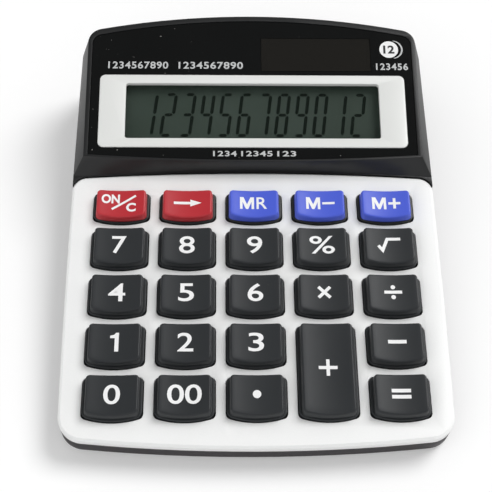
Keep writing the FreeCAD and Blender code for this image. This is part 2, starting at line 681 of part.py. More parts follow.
def rubber_feet():
    feet = []
    for x, y in foot_places():
        foot = pin(FOOT, 0.0, FOOT_HEIGHT + FOOT_SUNK, x, y)
        lower = [e for e in foot.Edges if all(v.Z < 1e-6 for v in e.Vertexes)]
        feet.append(foot.makeFillet(FOOT_SUNK / 2.0, lower))
    return Part.Compound(feet)


# ---- Display pieces -------------------------------------------------------
def display_fascia():
    fascia = fascia_block(FASCIA_UNDER, FASCIA_TOP)
    opening = plate(
        BEZEL_WIDTH + 2 * FIT, BEZEL_LENGTH + 2 * FIT, FASCIA_UNDER, FASCIA_TOP, 0, BEZEL_Y,
        BEZEL_CORNER + FIT)
    sun = plate(
        SOLAR_WIDTH + 2 * FIT, SOLAR_LENGTH + 2 * FIT, FASCIA_UNDER, FASCIA_TOP, SOLAR_X, SOLAR_Y)
    return placed(fascia.cut([opening, sun]), FACE)


def lcd_bezel():
    top = FASCIA_TOP + BEZEL_PROUD
    frame = plate(BEZEL_WIDTH, BEZEL_LENGTH, FASCIA_UNDER, top, 0, BEZEL_Y, BEZEL_CORNER)
    frame = bevel_top(frame, top, BEZEL_PROUD)
    view = plate(VIEW_WIDTH, VIEW_LENGTH, FASCIA_UNDER, top, 0, BEZEL_Y, VIEW_CORNER)
    return placed(frame.cut(view), FACE)


def lcd_window():
    pane = plate(
        VIEW_WIDTH + 2 * PANE_LAP, VIEW_LENGTH + 2 * PANE_LAP, PANE_UNDER, FASCIA_UNDER, 0, BEZEL_Y)
    return placed(pane, FACE)


def solar_window():
    pane = plate(SOLAR_WIDTH, SOLAR_LENGTH, FASCIA_UNDER, FASCIA_TOP, SOLAR_X, SOLAR_Y)
    return placed(pane, FACE)


def solar_cell():
    cell = plate(SOLAR_WIDTH, SOLAR_LENGTH, ROOF_UNDER - SOLAR_CELL, ROOF_UNDER, SOLAR_X, SOLAR_Y)
    return placed(cell, FACE)


def lcd_glass():
    rear = plate(LCD_WIDTH, LCD_LENGTH, LCD_UNDER, LCD_TOP - LCD_THICKNESS / 2.0, 0, BEZEL_Y)
    front = plate(
        LCD_WIDTH, LCD_LENGTH - 2 * STRIP_WIDTH, LCD_TOP - LCD_THICKNESS / 2.0, LCD_TOP, 0, BEZEL_Y)
    return placed(rear.fuse(front), FACE)


def lcd_holder():
    frame = plate(HOLDER_WIDTH, HOLDER_LENGTH, BOARD_TOP_FACE, ROOF_UNDER, 0, BEZEL_Y)
    inner = plate(
        LCD_WIDTH + 2 * FIT, LCD_LENGTH + 2 * FIT, BOARD_TOP_FACE, ROOF_UNDER, 0, BEZEL_Y)
    holes = [
        pin(SCREW + 2 * HEAD_GAP, BOARD_TOP_FACE, ROOF_UNDER, x, y) for x, y in holder_screw_places()]
    return placed(frame.cut([inner] + holes), FACE)


def zebra_strips():
    reach = LCD_LENGTH / 2.0 - STRIP_WIDTH / 2.0
    strips = [
        plate(VIEW_WIDTH, STRIP_WIDTH, BOARD_TOP_FACE, LCD_UNDER, 0, BEZEL_Y + side * reach)
        for side in (-1, 1)]
    return placed(Part.Compound(strips), FACE)


def display_board():
    board = plate(HOLDER_WIDTH, HOLDER_LENGTH, BOARD_UNDER_FACE, BOARD_TOP_FACE, 0, BEZEL_Y)
    holes = [
        pin(SCREW + 2 * HEAD_GAP, BOARD_UNDER_FACE, BOARD_TOP_FACE, x, y)
        for x, y in holder_screw_places()]
    return placed(board.cut(holes), FACE)


def display_screws():
    tip = FASCIA_UNDER - ROOF / 4.0
    screws = [
        screw(SCREW, SCREW_HEAD, SCREW_HEAD_HEIGHT, tip, BOARD_UNDER_FACE, x, y)
        for x, y in holder_screw_places()]
    return placed(Part.Compound(screws), FACE)


def calculator_chip():
    """The blob of resin over the bare chip, under the display board."""
    low = BOARD_UNDER_FACE - CHIP_BLOB_HEIGHT
    ball = (CHIP_BLOB ** 2 / 4.0 + CHIP_BLOB_HEIGHT ** 2) / (2.0 * CHIP_BLOB_HEIGHT)
    sphere = Part.makeSphere(ball, FreeCAD.Vector(CHIP_X, BEZEL_Y, low + ball))
    below_board = plate(BODY_WIDTH, BODY_WIDTH, low, BOARD_UNDER_FACE, 0, BEZEL_Y)
    return placed(sphere.common(below_board), FACE)


def soldered(part_size, x, y):
    """A boxy part under the display board."""
    across, along, thick = part_size
    return plate(across, along, BOARD_UNDER_FACE - thick, BOARD_UNDER_FACE, x, BEZEL_Y + y)


def board_parts():
    """The capacitor and two resistors under the display board."""
    pieces = [soldered(CAPACITOR, CAPACITOR_X, 0.0)]
    for side in (-1, 1):
        pieces.append(soldered(RESISTOR, RESISTOR_X, side * RESISTOR_Y))
    return placed(Part.Compound(pieces), FACE)


# ---- Keypad, board, battery -----------------------------------------------
def keypad_mat():
    width = BOARD_WIDTH - 2 * MAT_INSET
    front = BOARD_FRONT + MAT_INSET
    back = BOARD_BACK - MAT_BACK_INSET
    mat = box(-width / 2.0, width / 2.0, front, back, MAT_UNDER, MAT_TOP)
    domes = []
    for (row, column) in KEY_NAMES:
        place = FreeCAD.Vector(
            column_x(column), row_back(row) - key_depth(row, column) / 2.0, MAT_TOP)
        domes.append(Part.makeCone(DOME_FOOT / 2.0, DOME_TOP / 2.0, DOME_HEIGHT, place))
    holes = [
        pin(DECK_BOSS + 2 * HEAD_GAP, MAT_UNDER, MAT_TOP, x, y) for x, y in deck_screw_places()]
    return placed(mat.fuse(domes).cut(holes), DECK)


def main_board():
    board = box(-BOARD_WIDTH / 2.0, BOARD_WIDTH / 2.0, BOARD_FRONT, BOARD_BACK, BOARD_UNDER, MAT_UNDER)
    holes = [
        pin(SCREW + 2 * HEAD_GAP, BOARD_UNDER, MAT_UNDER, x, y) for x, y in deck_screw_places()]
    return placed(board.cut(holes), DECK)


def board_screws():
    tip = -COVER_PLATE - DOME_HEIGHT
    screws = [
        screw(SCREW, SCREW_HEAD, SCREW_HEAD_HEIGHT, tip, BOARD_UNDER, x, y)
        for x, y in deck_screw_places()]
    return placed(Part.Compound(screws), DECK)


def case_screws():
    screws = []
    for x, y in case_screw_places() + head_screw_places():
        seat = screw_seat(x, y)
        tip = seat + CASE_WEB + CASE_BOSS_DROP
        screws.append(
            screw(CASE_SCREW, CASE_SCREW_HEAD, CASE_SCREW_HEAD_HEIGHT, tip, seat, x, y))
    return placed(Part.Compound(screws), DECK)


def ribbon_cable():
    """Flat cable from the display board down to the back strip of the main board."""
    top = FACE.multVec(FreeCAD.Vector(0, BEZEL_Y - HOLDER_LENGTH / 2.0 + RIBBON, BOARD_UNDER_FACE))
    start = DECK.inverse().multVec(top)
    lay = MAT_UNDER + RIBBON
    solder = BOARD_BACK - MAT_BACK_INSET + MAT_INSET
    outline = [
        (start.y, start.z), (start.y, lay), (solder, lay), (solder, MAT_UNDER),
        (start.y + RIBBON, MAT_UNDER), (start.y + RIBBON, start.z)]
    points = [FreeCAD.Vector(-RIBBON_WIDTH / 2.0, y, z) for y, z in outline]
    face = Part.Face(Part.makePolygon(points + [points[0]]))
    return placed(face.extrude(FreeCAD.Vector(RIBBON_WIDTH, 0, 0)), DECK)


def battery_cell():
    left = -CELL_LENGTH / 2.0
    can = Part.makeCylinder(
        CELL / 2.0, CELL_LENGTH - CELL_NUB_LENGTH, FreeCAD.Vector(left, BAY_Y, CELL_Z), X_AXIS)
    nub = Part.makeCylinder(
        CELL_NUB / 2.0, CELL_LENGTH, FreeCAD.Vector(left, BAY_Y, CELL_Z), X_AXIS)
    return can.fuse(nub)


def contact_plate(x0, x1):
    blade = box(
        x0, x1, BAY_Y - CONTACT_WIDTH / 2.0, BAY_Y + CONTACT_WIDTH / 2.0,
        CELL_Z - CONTACT_HEIGHT / 2.0, BAY_TOP)
    tab = box(
        x0, x1, BAY_Y - CONTACT_WIDTH / 5.0, BAY_Y + CONTACT_WIDTH / 5.0, BAY_TOP, BAY_TOP + 2 * WALL)
    return blade.fuse(tab)


def battery_contact_positive():
    """Flat plate at the nub end, with the dimple that meets the nub."""
    wall_x = BAY_LENGTH / 2.0
    plate_x = wall_x - CONTACT
    reach = plate_x - CELL_LENGTH / 2.0
    dimple = Part.makeCone(
        CELL_NUB * 0.7, CELL_NUB / 2.0, reach, FreeCAD.Vector(plate_x, BAY_Y, CELL_Z),
        FreeCAD.Vector(-1, 0, 0))
    return contact_plate(plate_x, wall_x).fuse(dimple)


def battery_spring():
    """Plate and conical coil at the flat end of the cell."""
    wall_x = -BAY_LENGTH / 2.0
    plate_x = wall_x + CONTACT
    reach = -CELL_LENGTH / 2.0 - plate_x
    pitch = (reach - SPRING_WIRE) / (SPRING_TURNS - 1)
    shapes = [contact_plate(wall_x, plate_x)]
    for turn in range(SPRING_TURNS):
        share = turn / (SPRING_TURNS - 1.0)
        ring = SPRING_FOOT + (SPRING_TOP - SPRING_FOOT) * share
        x = plate_x + SPRING_WIRE / 2.0 + turn * pitch
        shapes.append(Part.makeTorus(
            ring / 2.0, SPRING_WIRE / 2.0, FreeCAD.Vector(x, BAY_Y, CELL_Z), X_AXIS))
    struts = Part.makeCone(
        SPRING_FOOT / 2.0, SPRING_TOP / 2.0, reach - SPRING_WIRE / 2.0,
        FreeCAD.Vector(plate_x, BAY_Y, CELL_Z), X_AXIS)
    core = Part.makeCone(
        SPRING_FOOT / 2.0 - SPRING_WIRE / 2.0, SPRING_TOP / 2.0 - SPRING_WIRE / 2.0,
        reach - SPRING_WIRE / 2.0, FreeCAD.Vector(plate_x, BAY_Y, CELL_Z), X_AXIS)
    shapes.append(struts.cut(core))
    return fused(shapes)


def battery_leads():
    """Two wires from the contact tabs up to the display board."""
    leads = []
    for side in (-1, 1):
        tab_x = side * (BAY_LENGTH / 2.0 - CONTACT / 2.0)
        foot = (tab_x, BAY_Y - CONTACT_WIDTH / 5.0 - LEAD / 2.0, BAY_TOP + WALL)
        board = FACE.multVec(FreeCAD.Vector(tab_x, BEZEL_Y + LCD_LENGTH / 3.0, BOARD_UNDER_FACE))
        bend_z = (foot[2] + board.z) / 2.0
        end_z = board.z - LEAD / 2.0 * math.tan(TILT + math.radians(FACE_TILT)) - THREAD_GAP
        points = [foot, (tab_x, foot[1], bend_z), (tab_x, board.y, bend_z), (tab_x, board.y, end_z)]
        leads.append(wire_run(points, LEAD, LEAD / 2.0 + FIT))
    return Part.Compound(leads)


def solar_leads():
    """Two short wires from the solar cell to the display board."""
    leads = []
    board_back = BEZEL_Y + HOLDER_LENGTH / 2.0
    for side in (-1, 1):
        x = SOLAR_X + side * SOLAR_WIDTH / 4.0
        top = ROOF_UNDER - SOLAR_CELL
        low = BOARD_UNDER_FACE - LEAD / 2.0
        points = [(x, SOLAR_Y, top), (x, SOLAR_Y, low), (x, board_back - LEAD, low)]
        leads.append(placed(wire_run(points, LEAD, LEAD), FACE))
    return Part.Compound(leads)


def battery_cover():
    """The door: a flat plate whose side tongues run over the floor, with a
    raised end that closes the notch in the back wall."""
    beyond = INNER_BACK + 2 * WALL
    door = box(-DOOR_HALF, DOOR_HALF, DOOR_FRONT, beyond, FOOT_HEIGHT, FLOOR_TOP + TONGUE)
    tongue_half = DOOR_HALF + TONGUE_WIDTH
    tongues = box(
        -tongue_half, tongue_half, DOOR_FRONT, beyond, FLOOR_TOP + DOOR_GAP / 4.0,
        FLOOR_TOP + TONGUE)
    rim = 2 * TONGUE_WIDTH
    tray = box(
        -DOOR_HALF + rim, DOOR_HALF - rim, DOOR_FRONT + rim, INNER_BACK - BACK_BOW / 2.0,
        FOOT_HEIGHT + DOOR_THICKNESS, FLOOR_TOP + TONGUE)
    door = door.fuse(tongues).cut(tray).common(case_block())
    grips = [
        box(-DOOR_HALF / 3.0, DOOR_HALF / 3.0, y, y + WALL / 2.0, FOOT_HEIGHT, FOOT_HEIGHT + FLOOR / 4.0)
        for y in [INNER_BACK - WALL * (2 + step) for step in range(4)]]
    return door.cut(grips).removeSplitter()


# ---- Export ---------------------------------------------------------------
def all_parts():
    parts = {
        "bottom_case": bottom_case(),
        "keyboard_cover": keyboard_cover(),
        "display_housing": display_housing(),
        "display_fascia": display_fascia(),
        "lcd_bezel": lcd_bezel(),
        "lcd_window": lcd_window(),
        "solar_window": solar_window(),
        "solar_cell": solar_cell(),
        "solar_leads": solar_leads(),
        "lcd_glass": lcd_glass(),
        "lcd_holder": lcd_holder(),
        "zebra_strips": zebra_strips(),
        "display_board": display_board(),
        "display_screws": display_screws(),
        "calculator_chip": calculator_chip(),
        "board_parts": board_parts(),
        "ribbon_cable": ribbon_cable(),
        "main_board": main_board(),
        "board_screws": board_screws(),
        "keypad_mat": keypad_mat(),
        "case_screws": case_screws(),
        "rubber_feet": rubber_feet(),
        "battery_cell": battery_cell(),
        "battery_contact_positive": battery_contact_positive(),
        "battery_spring": battery_spring(),
        "battery_leads": battery_leads(),
        "battery_cover": battery_cover(),
    }
    export_keys(parts)
    return parts


def export(parts):
    os.makedirs("parts", exist_ok=True)
    for name, shape in parts.items():
        shape.exportStep(os.path.join("parts", name + ".step"))
        print(name, len(shape.Solids), round(shape.Volume, 1), shape.isValid())


export(all_parts())
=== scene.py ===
import json
import math

import bmesh
import bpy
from mathutils import Matrix, Vector


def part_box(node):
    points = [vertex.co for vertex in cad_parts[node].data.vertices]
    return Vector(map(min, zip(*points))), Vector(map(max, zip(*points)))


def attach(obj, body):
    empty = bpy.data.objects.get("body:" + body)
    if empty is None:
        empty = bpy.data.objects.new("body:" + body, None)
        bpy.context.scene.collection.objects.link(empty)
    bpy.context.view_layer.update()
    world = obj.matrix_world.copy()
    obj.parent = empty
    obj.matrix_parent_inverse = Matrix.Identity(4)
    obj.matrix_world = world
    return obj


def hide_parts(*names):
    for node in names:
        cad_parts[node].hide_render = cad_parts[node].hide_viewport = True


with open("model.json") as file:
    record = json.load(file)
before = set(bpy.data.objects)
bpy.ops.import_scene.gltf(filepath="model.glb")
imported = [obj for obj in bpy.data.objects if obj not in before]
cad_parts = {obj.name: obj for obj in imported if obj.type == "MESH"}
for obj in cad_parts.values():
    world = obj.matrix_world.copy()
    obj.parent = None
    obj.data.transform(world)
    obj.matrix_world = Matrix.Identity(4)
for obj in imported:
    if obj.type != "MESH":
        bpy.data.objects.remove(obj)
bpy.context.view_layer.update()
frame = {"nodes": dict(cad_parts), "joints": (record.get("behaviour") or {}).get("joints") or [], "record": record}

# ---- Sizes, in millimetres ----
MM = 0.001
FACE_TILT = math.radians(13.3)      # display face to desk
FACE_OVER_PANE = 2.0                # face plate's surface above the pane's middle
GLASS_UNDER_PANE = 1.2              # display glass surface below the pane's middle

# Keys: heights are from the deck's surface, and places along a key from its back edge.
KEY_HALF = 9.2                      # half a key's width
KEY_BOW = 1.7                       # how far the front edge bows out
KEY_CORNER = 1.6
KEY_UNDER = -3.05                   # the underside of skirt and lips
LIP_TOP = -2.05
LIP_REACH = 10.0                    # lips' outer edge, from the key's middle
LIP_SETBACK = 2.0
LIP_BITE = 0.4                      # how far a lip is let into the skirt
PLUNGER = 4.0                       # diameter
PLUNGER_TIP = -3.6
PLUNGER_BITE = 0.4                  # how far the plunger is let into the skirt
PLUNGER_SIDES = 24
SKIRT_RISE = 1.0
NEAR = 0.01                         # heights this close are one
SKIRT_ROUND = 0.3
SKIRT_STEPS = 4                     # facets of the skirt's rounded edge
SKIRT_GAP = 0.02                    # a coloured cap's foot above its skirt
CAP_FOOT_HALF = 8.4
CAP_TOP_HALF = 7.95
CAP_FOOT_BACK = -0.1
CAP_TOP_BACK = -0.2
CAP_PEAK_BACK = -0.8                # the CAD cap's highest edge
CAP_TOP_FRONT = 0.4                 # cap top ends this far behind the skirt's corners
CAP_BOW = 1.1
CAP_CORNER = 1.15
CAP_CORNER_LEAST = 0.4
CAP_RISE = 3.9                      # the cap's top at its sides
CAP_ROUND = 0.5
CAP_STEPS = 5                       # facets of the cap's rounded shoulder
CAP_FOOT_BAND = 0.15                # upright band at the cap's foot
CAP_KNEE = 0.3                      # the loop over the foot, as a share of height and draft
CAP_SHOULDER = 0.75                 # share of the draft reached under the rounding
DISH = 0.7                          # depth of the hollow across the cap's top
DISH_RINGS = (0.85, 0.65, 0.45, 0.25, 0.1)
CORNER_STEPS = 5                    # facets of an outline's corner
EDGE_STEPS = 9                      # facets of an outline's edge

# Prints and display digits.
PRINT_THICK = 0.03
PRINT_CUT = 0.7                     # a print is cut this fine, so that it bends over the dish
DIGIT_HEIGHT = 6.3
DIGIT_WEIGHT = 0.06
STROKE = 1.05
MEMORY_HEIGHT = 4.5
MEMORY_STROKE = 0.85
PLACES = 12                         # digit places of the display
PLACE_PITCH = 6.56
PLACE_WIDTH = 4.5
PLACE_HEIGHT = 16.8
FIRST_PLACE = -35.6
SEGMENT = 1.15                      # width of a segment
SEGMENT_GAP = 0.22                  # from a segment's point to the digit's corner
SLANT = math.radians(7.0)

# Edges.
EDGE_FACETS = 3
SHARP_EDGE = math.radians(28.0)     # over this angle a shell's edge is softened
SMOOTH_EDGE = math.radians(40.0)    # under this angle two faces shade as one
FLAT_JOIN = math.radians(0.4)       # under this angle two faces become one

# ---- Joints and seats ----
PRESS = Vector(next(j["axis"] for j in frame["joints"] if j["name"].endswith("_press")))
DECK_TILT = math.atan2(PRESS.y, -PRESS.z)
SLOT_OF = {row["node"]: row["material_slot"] for row in frame["record"]["subparts"]}


def seat(place, tilt):
    """Local millimetres to the desk frame, tilted up from the front."""
    return Matrix.Translation(place) @ Matrix.Rotation(tilt, 4, "X") @ Matrix.Scale(MM, 4)


def middle(node):
    low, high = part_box(node)
    return (low + high) / 2


FACE_SEAT = seat(middle("lcd_window"), FACE_TILT)


# ---- Shader groups ----
NUMBER, COLOUR = "NodeSocketFloat", "NodeSocketColor"


def new_group(name, inputs, outputs):
    """An empty node group, with inputs {name: (socket type, default)}, outputs {name: type}."""
    group = bpy.data.node_groups.new(name, "ShaderNodeTree")
    for label, (kind, value) in inputs.items():
        socket = group.interface.new_socket(label, in_out="INPUT", socket_type=kind)
        socket.default_value = value
    for label, kind in outputs.items():
        group.interface.new_socket(label, in_out="OUTPUT", socket_type=kind)
    given = group.nodes.new("NodeGroupInput").outputs
    return group, given, group.nodes.new("NodeGroupOutput").inputs


def math_node(tree, operation, a, b, c=None):
    node = tree.nodes.new("ShaderNodeMath")
    node.operation = operation
    for index, value in enumerate((a, b, c)):
        if value is None:
            continue
        if isinstance(value, (int, float)):
            node.inputs[index].default_value = value
        else:
            tree.links.new(value, node.inputs[index])
    return node.outputs[0]


def noise(tree, place, scale, detail=2.0, rough=0.5):
    node = tree.nodes.new("ShaderNodeTexNoise")
    node.inputs["Detail"].default_value = detail
    node.inputs["Roughness"].default_value = rough
    tree.links.new(place, node.inputs["Vector"])
    if isinstance(scale, (int, float)):
        node.inputs["Scale"].default_value = scale
    else:
        tree.links.new(scale, node.inputs["Scale"])
    return node.outputs["Fac"]


def spread(tree, value, low, high, to_low=0.0, to_high=1.0):
    node = tree.nodes.new("ShaderNodeMapRange")
    tree.links.new(value, node.inputs["Value"])
    limits = {"From Min": low, "From Max": high, "To Min": to_low, "To Max": to_high}
    for label, number in limits.items():
        node.inputs[label].default_value = number
    return node.outputs["Result"]


def mixed(tree, amount, a, b):
    """Colour a passing to colour b by an amount; each colour is a socket or a tuple."""
    node = tree.nodes.new("ShaderNodeMix")
    node.data_type = "RGBA"
    for label, value in (("Factor", amount), ("A", a), ("B", b)):
        socket = node.inputs[label]
        if isinstance(value, tuple):
            socket.default_value = (*value, 1.0)
        else:
            tree.links.new(value, socket)
    return node.outputs["Result"]


def object_place(tree):
    return tree.nodes.new("ShaderNodeTexCoord").outputs["Object"]


def moulded_grain():
    """Fine spark-eroded grain of moulded plastic, with a slow drift of colour and gloss."""
    group, given, out = new_group(
        "moulded_grain",
        {"Colour": (COLOUR, (0.5, 0.5, 0.5, 1)), "Drift": (NUMBER, 0.05),
         "Grain per metre": (NUMBER, 3000.0), "Roughness": (NUMBER, 0.4),
         "Gloss drift": (NUMBER, 0.08)},
        {"Colour": COLOUR, "Roughness": NUMBER, "Height": NUMBER})
    place = object_place(group)
    slow = noise(group, place, 55.0, 3.0)
    fine = noise(group, place, given["Grain per metre"], 2.0, 0.6)
    centred = math_node(group, "SUBTRACT", slow, 0.5)
    level = math_node(group, "MULTIPLY_ADD", centred, given["Drift"], 1.0)
    fine_centred = math_node(group, "SUBTRACT", fine, 0.5)
    fleck = math_node(group, "MULTIPLY_ADD", fine_centred, 0.06, level)
    tint = group.nodes.new("ShaderNodeVectorMath")
    tint.operation = "SCALE"
    group.links.new(given["Colour"], tint.inputs[0])
    group.links.new(fleck, tint.inputs["Scale"])
    gloss = math_node(group, "MULTIPLY_ADD", centred, given["Gloss drift"], given["Roughness"])
    gloss = math_node(group, "MULTIPLY_ADD", fine_centred, 0.12, gloss)
    group.links.new(tint.outputs[0], out["Colour"])
    group.links.new(gloss, out["Roughness"])
    group.links.new(fine, out["Height"])
    return group


def handling():
    """Edges rubbed by hands and a little dust on what faces up."""
    group, given, out = new_group(
        "handling",
        {"Colour": (COLOUR, (0.5, 0.5, 0.5, 1)), "Roughness": (NUMBER, 0.4),
         "Rubbed": (NUMBER, 0.1), "Rubbed colour": (COLOUR, (0.6, 0.6, 0.6, 1)),
         "Dust": (NUMBER, 0.02)},
        {"Colour": COLOUR, "Roughness": NUMBER})
    place = object_place(group)
    shape = group.nodes.new("ShaderNodeNewGeometry")
    edge = spread(group, shape.outputs["Pointiness"], 0.51, 0.58)
    broken = spread(group, noise(group, place, 420.0, 4.0), 0.35, 0.65)
    worn_edge = math_node(group, "MULTIPLY", edge, broken)
    rub = math_node(group, "MULTIPLY", worn_edge, given["Rubbed"])
    axes = group.nodes.new("ShaderNodeSeparateXYZ")
    group.links.new(shape.outputs["Normal"], axes.inputs[0])
    upward = spread(group, axes.outputs["Z"], 0.6, 1.0)
    speck = spread(group, noise(group, place, 1100.0, 1.0), 0.775, 0.80)
    settled = math_node(group, "MULTIPLY", speck, upward)
    dust = math_node(group, "MULTIPLY", settled, given["Dust"])
    colour = mixed(group, rub, given["Colour"], given["Rubbed colour"])
    colour = mixed(group, dust, colour, (0.55, 0.53, 0.5))
    rough = math_node(group, "MULTIPLY_ADD", rub, -0.3, given["Roughness"])
    rough = math_node(group, "MULTIPLY_ADD", dust, 0.5, rough)
    group.links.new(colour, out["Colour"])
    group.links.new(rough, out["Roughness"])
    return group


def drawn_metal():
    """Rolled or drawn metal: fine lines along one axis and dull tarnish."""
    group, given, out = new_group(
        "drawn_metal",
        {"Colour": (COLOUR, (0.6, 0.6, 0.6, 1)), "Roughness": (NUMBER, 0.3),
         "Tarnish": (NUMBER, 0.25)},
        {"Colour": COLOUR, "Roughness": NUMBER, "Height": NUMBER})
    place = object_place(group)
    stretch = group.nodes.new("ShaderNodeMapping")
    stretch.inputs["Scale"].default_value = (300.0, 6000.0, 6000.0)
    group.links.new(place, stretch.inputs["Vector"])
    lines = noise(group, stretch.outputs[0], 1.0, 2.0)
    dull = spread(group, noise(group, place, 260.0, 4.0), 0.4, 0.7)
    stain = math_node(group, "MULTIPLY", dull, given["Tarnish"])
    colour = mixed(group, stain, given["Colour"], (0.22, 0.19, 0.15))
    rough = math_node(group, "MULTIPLY_ADD", lines, 0.2, given["Roughness"])
    rough = math_node(group, "ADD", rough, stain)
    group.links.new(colour, out["Colour"])
    group.links.new(rough, out["Roughness"])
    group.links.new(lines, out["Height"])
    return group


GRAIN = moulded_grain()
HANDLING = handling()
METAL = drawn_metal()


# ---- Materials ----
def material(name, **settings):
    """A new node material; settings go straight on the Principled shader."""
    made = bpy.data.materials.new(name)
    made.use_nodes = True
    shader = next(n for n in made.node_tree.nodes if n.type == "BSDF_PRINCIPLED")
    for label, value in settings.items():
        shader.inputs[label.replace("_", " ")].default_value = value
    return made, made.node_tree, shader


def place_group(tree, group, **values):
    node = tree.nodes.new("ShaderNodeGroup")
    node.node_tree = group
    for label, value in values.items():
        label = label.replace("_", " ")
        if isinstance(value, bpy.types.NodeSocket):
            tree.links.new(value, node.inputs[label])
        elif isinstance(value, tuple):
            node.inputs[label].default_value = (*value, 1.0)
        else:
            node.inputs[label].default_value = value
    return node


def bump(tree, shader, height, distance):
    node = tree.nodes.new("ShaderNodeBump")
    node.inputs["Distance"].default_value = distance
    tree.links.new(height, node.inputs["Height"])
    tree.links.new(node.outputs["Normal"], shader.inputs["Normal"])


def dress(tree, shader, surface):
    """Colour and roughness of a shader group's node on the shader."""
    tree.links.new(surface.outputs["Colour"], shader.inputs["Base Color"])
    tree.links.new(surface.outputs["Roughness"], shader.inputs["Roughness"])


def plastic(name, colour, roughness, grain=3000.0, depth=6e-6, drift=0.05, gloss_drift=0.08,
            rubbed=0.1, rubbed_colour=None, dust=0.02, **settings):
    """Moulded plastic; the grain is per metre and its depth in metres."""
    made, tree, shader = material(name, **settings)
    body = place_group(tree, GRAIN, Colour=colour, Drift=drift, Grain_per_metre=grain,
                       Roughness=roughness, Gloss_drift=gloss_drift)
    lighter = rubbed_colour or tuple(min(1.0, c * 1.6 + 0.02) for c in colour)
    used = place_group(tree, HANDLING, Colour=body.outputs["Colour"],
                       Roughness=body.outputs["Roughness"], Rubbed=rubbed,
                       Rubbed_colour=lighter, Dust=dust)
    dress(tree, shader, used)
    bump(tree, shader, body.outputs["Height"], depth)
    return made


def metal(name, colour, roughness, tarnish):
    made, tree, shader = material(name, Metallic=1.0)
    body = place_group(tree, METAL, Colour=colour, Roughness=roughness, Tarnish=tarnish)
    dress(tree, shader, body)
    bump(tree, shader, body.outputs["Height"], 4e-6)
    return made


def window(name, colour, alpha, smear):
    """A clear or smoked pane with faint smears on it."""
    made, tree, shader = material(name, Alpha=alpha, Base_Color=(*colour, 1.0))
    place = object_place(tree)
    rough = spread(tree, noise(tree, place, 70.0, 4.0), 0.4, 0.75, 0.04, 0.04 + smear)
    tree.links.new(rough, shader.inputs["Roughness"])
    tint = mixed(tree, spread(tree, noise(tree, place, 35.0), 0.3, 0.7, 0.0, 0.3), colour,
                 tuple(c * 0.8 for c in colour))
    tree.links.new(tint, shader.inputs["Base Color"])
    return made


def display_glass():
    """Grey-green reflective display: pressed fibres of the reflector and uneven tint."""
    made, tree, shader = material("display_green", Specular_IOR_Level=0.15)
    place = object_place(tree)
    tint = mixed(tree, spread(tree, noise(tree, place, 45.0, 2.0), 0.3, 0.7), (0.030, 0.046, 0.035),
                 (0.040, 0.058, 0.047))
    fibre = noise(tree, place, 5200.0, 2.0)
    tint = mixed(tree, spread(tree, fibre, 0.3, 0.7, 0.0, 0.25), tint, (0.05, 0.07, 0.055))
    tree.links.new(tint, shader.inputs["Base Color"])
    tree.links.new(spread(tree, fibre, 0.2, 0.8, 0.42, 0.6), shader.inputs["Roughness"])
    bump(tree, shader, fibre, 5e-6)
    return made


SOLAR_STRIP = 0.0095                # width of one strip of the solar cell, in metres


def solar_silicon():
    """Dark brown amorphous silicon in strips with thin lines between them."""
    made, tree, shader = material("solar_brown")
    place = object_place(tree)
    axes = tree.nodes.new("ShaderNodeSeparateXYZ")
    tree.links.new(place, axes.inputs[0])
    strips = math_node(tree, "MULTIPLY", axes.outputs["X"], 1 / SOLAR_STRIP)
    phase = math_node(tree, "FRACT", strips, 0.0)
    from_middle = math_node(tree, "ABSOLUTE", math_node(tree, "SUBTRACT", phase, 0.5), 0.0)
    line = spread(tree, from_middle, 0.47, 0.485)
    drift = spread(tree, noise(tree, place, 90.0, 3.0), 0.3, 0.7)
    body = mixed(tree, drift, (0.030, 0.017, 0.012), (0.042, 0.024, 0.016))
    tree.links.new(mixed(tree, line, body, (0.10, 0.075, 0.05)), shader.inputs["Base Color"])
    tree.links.new(spread(tree, drift, 0.0, 1.0, 0.12, 0.25), shader.inputs["Roughness"])
    return made


def circuit_board():
    """Green solder resist over square copper tracks."""
    made, tree, shader = material("solder_resist")
    place = object_place(tree)
    cells = tree.nodes.new("ShaderNodeTexVoronoi")
    cells.distance = "CHEBYCHEV"
    cells.feature = "F1"
    cells.inputs["Scale"].default_value = 260.0
    cells.inputs["Randomness"].default_value = 0.8
    tree.links.new(place, cells.inputs["Vector"])
    track = spread(tree, cells.outputs["Distance"], 0.42, 0.46)
    drift = spread(tree, noise(tree, place, 300.0), 0.3, 0.7, 0.0, 0.4)
    green = mixed(tree, drift, (0.012, 0.10, 0.035), (0.02, 0.13, 0.05))
    tree.links.new(mixed(tree, track, green, (0.04, 0.24, 0.09)), shader.inputs["Base Color"])
    tree.links.new(spread(tree, drift, 0.0, 0.4, 0.25, 0.4), shader.inputs["Roughness"])
    bump(tree, shader, track, 2e-5)
    return made


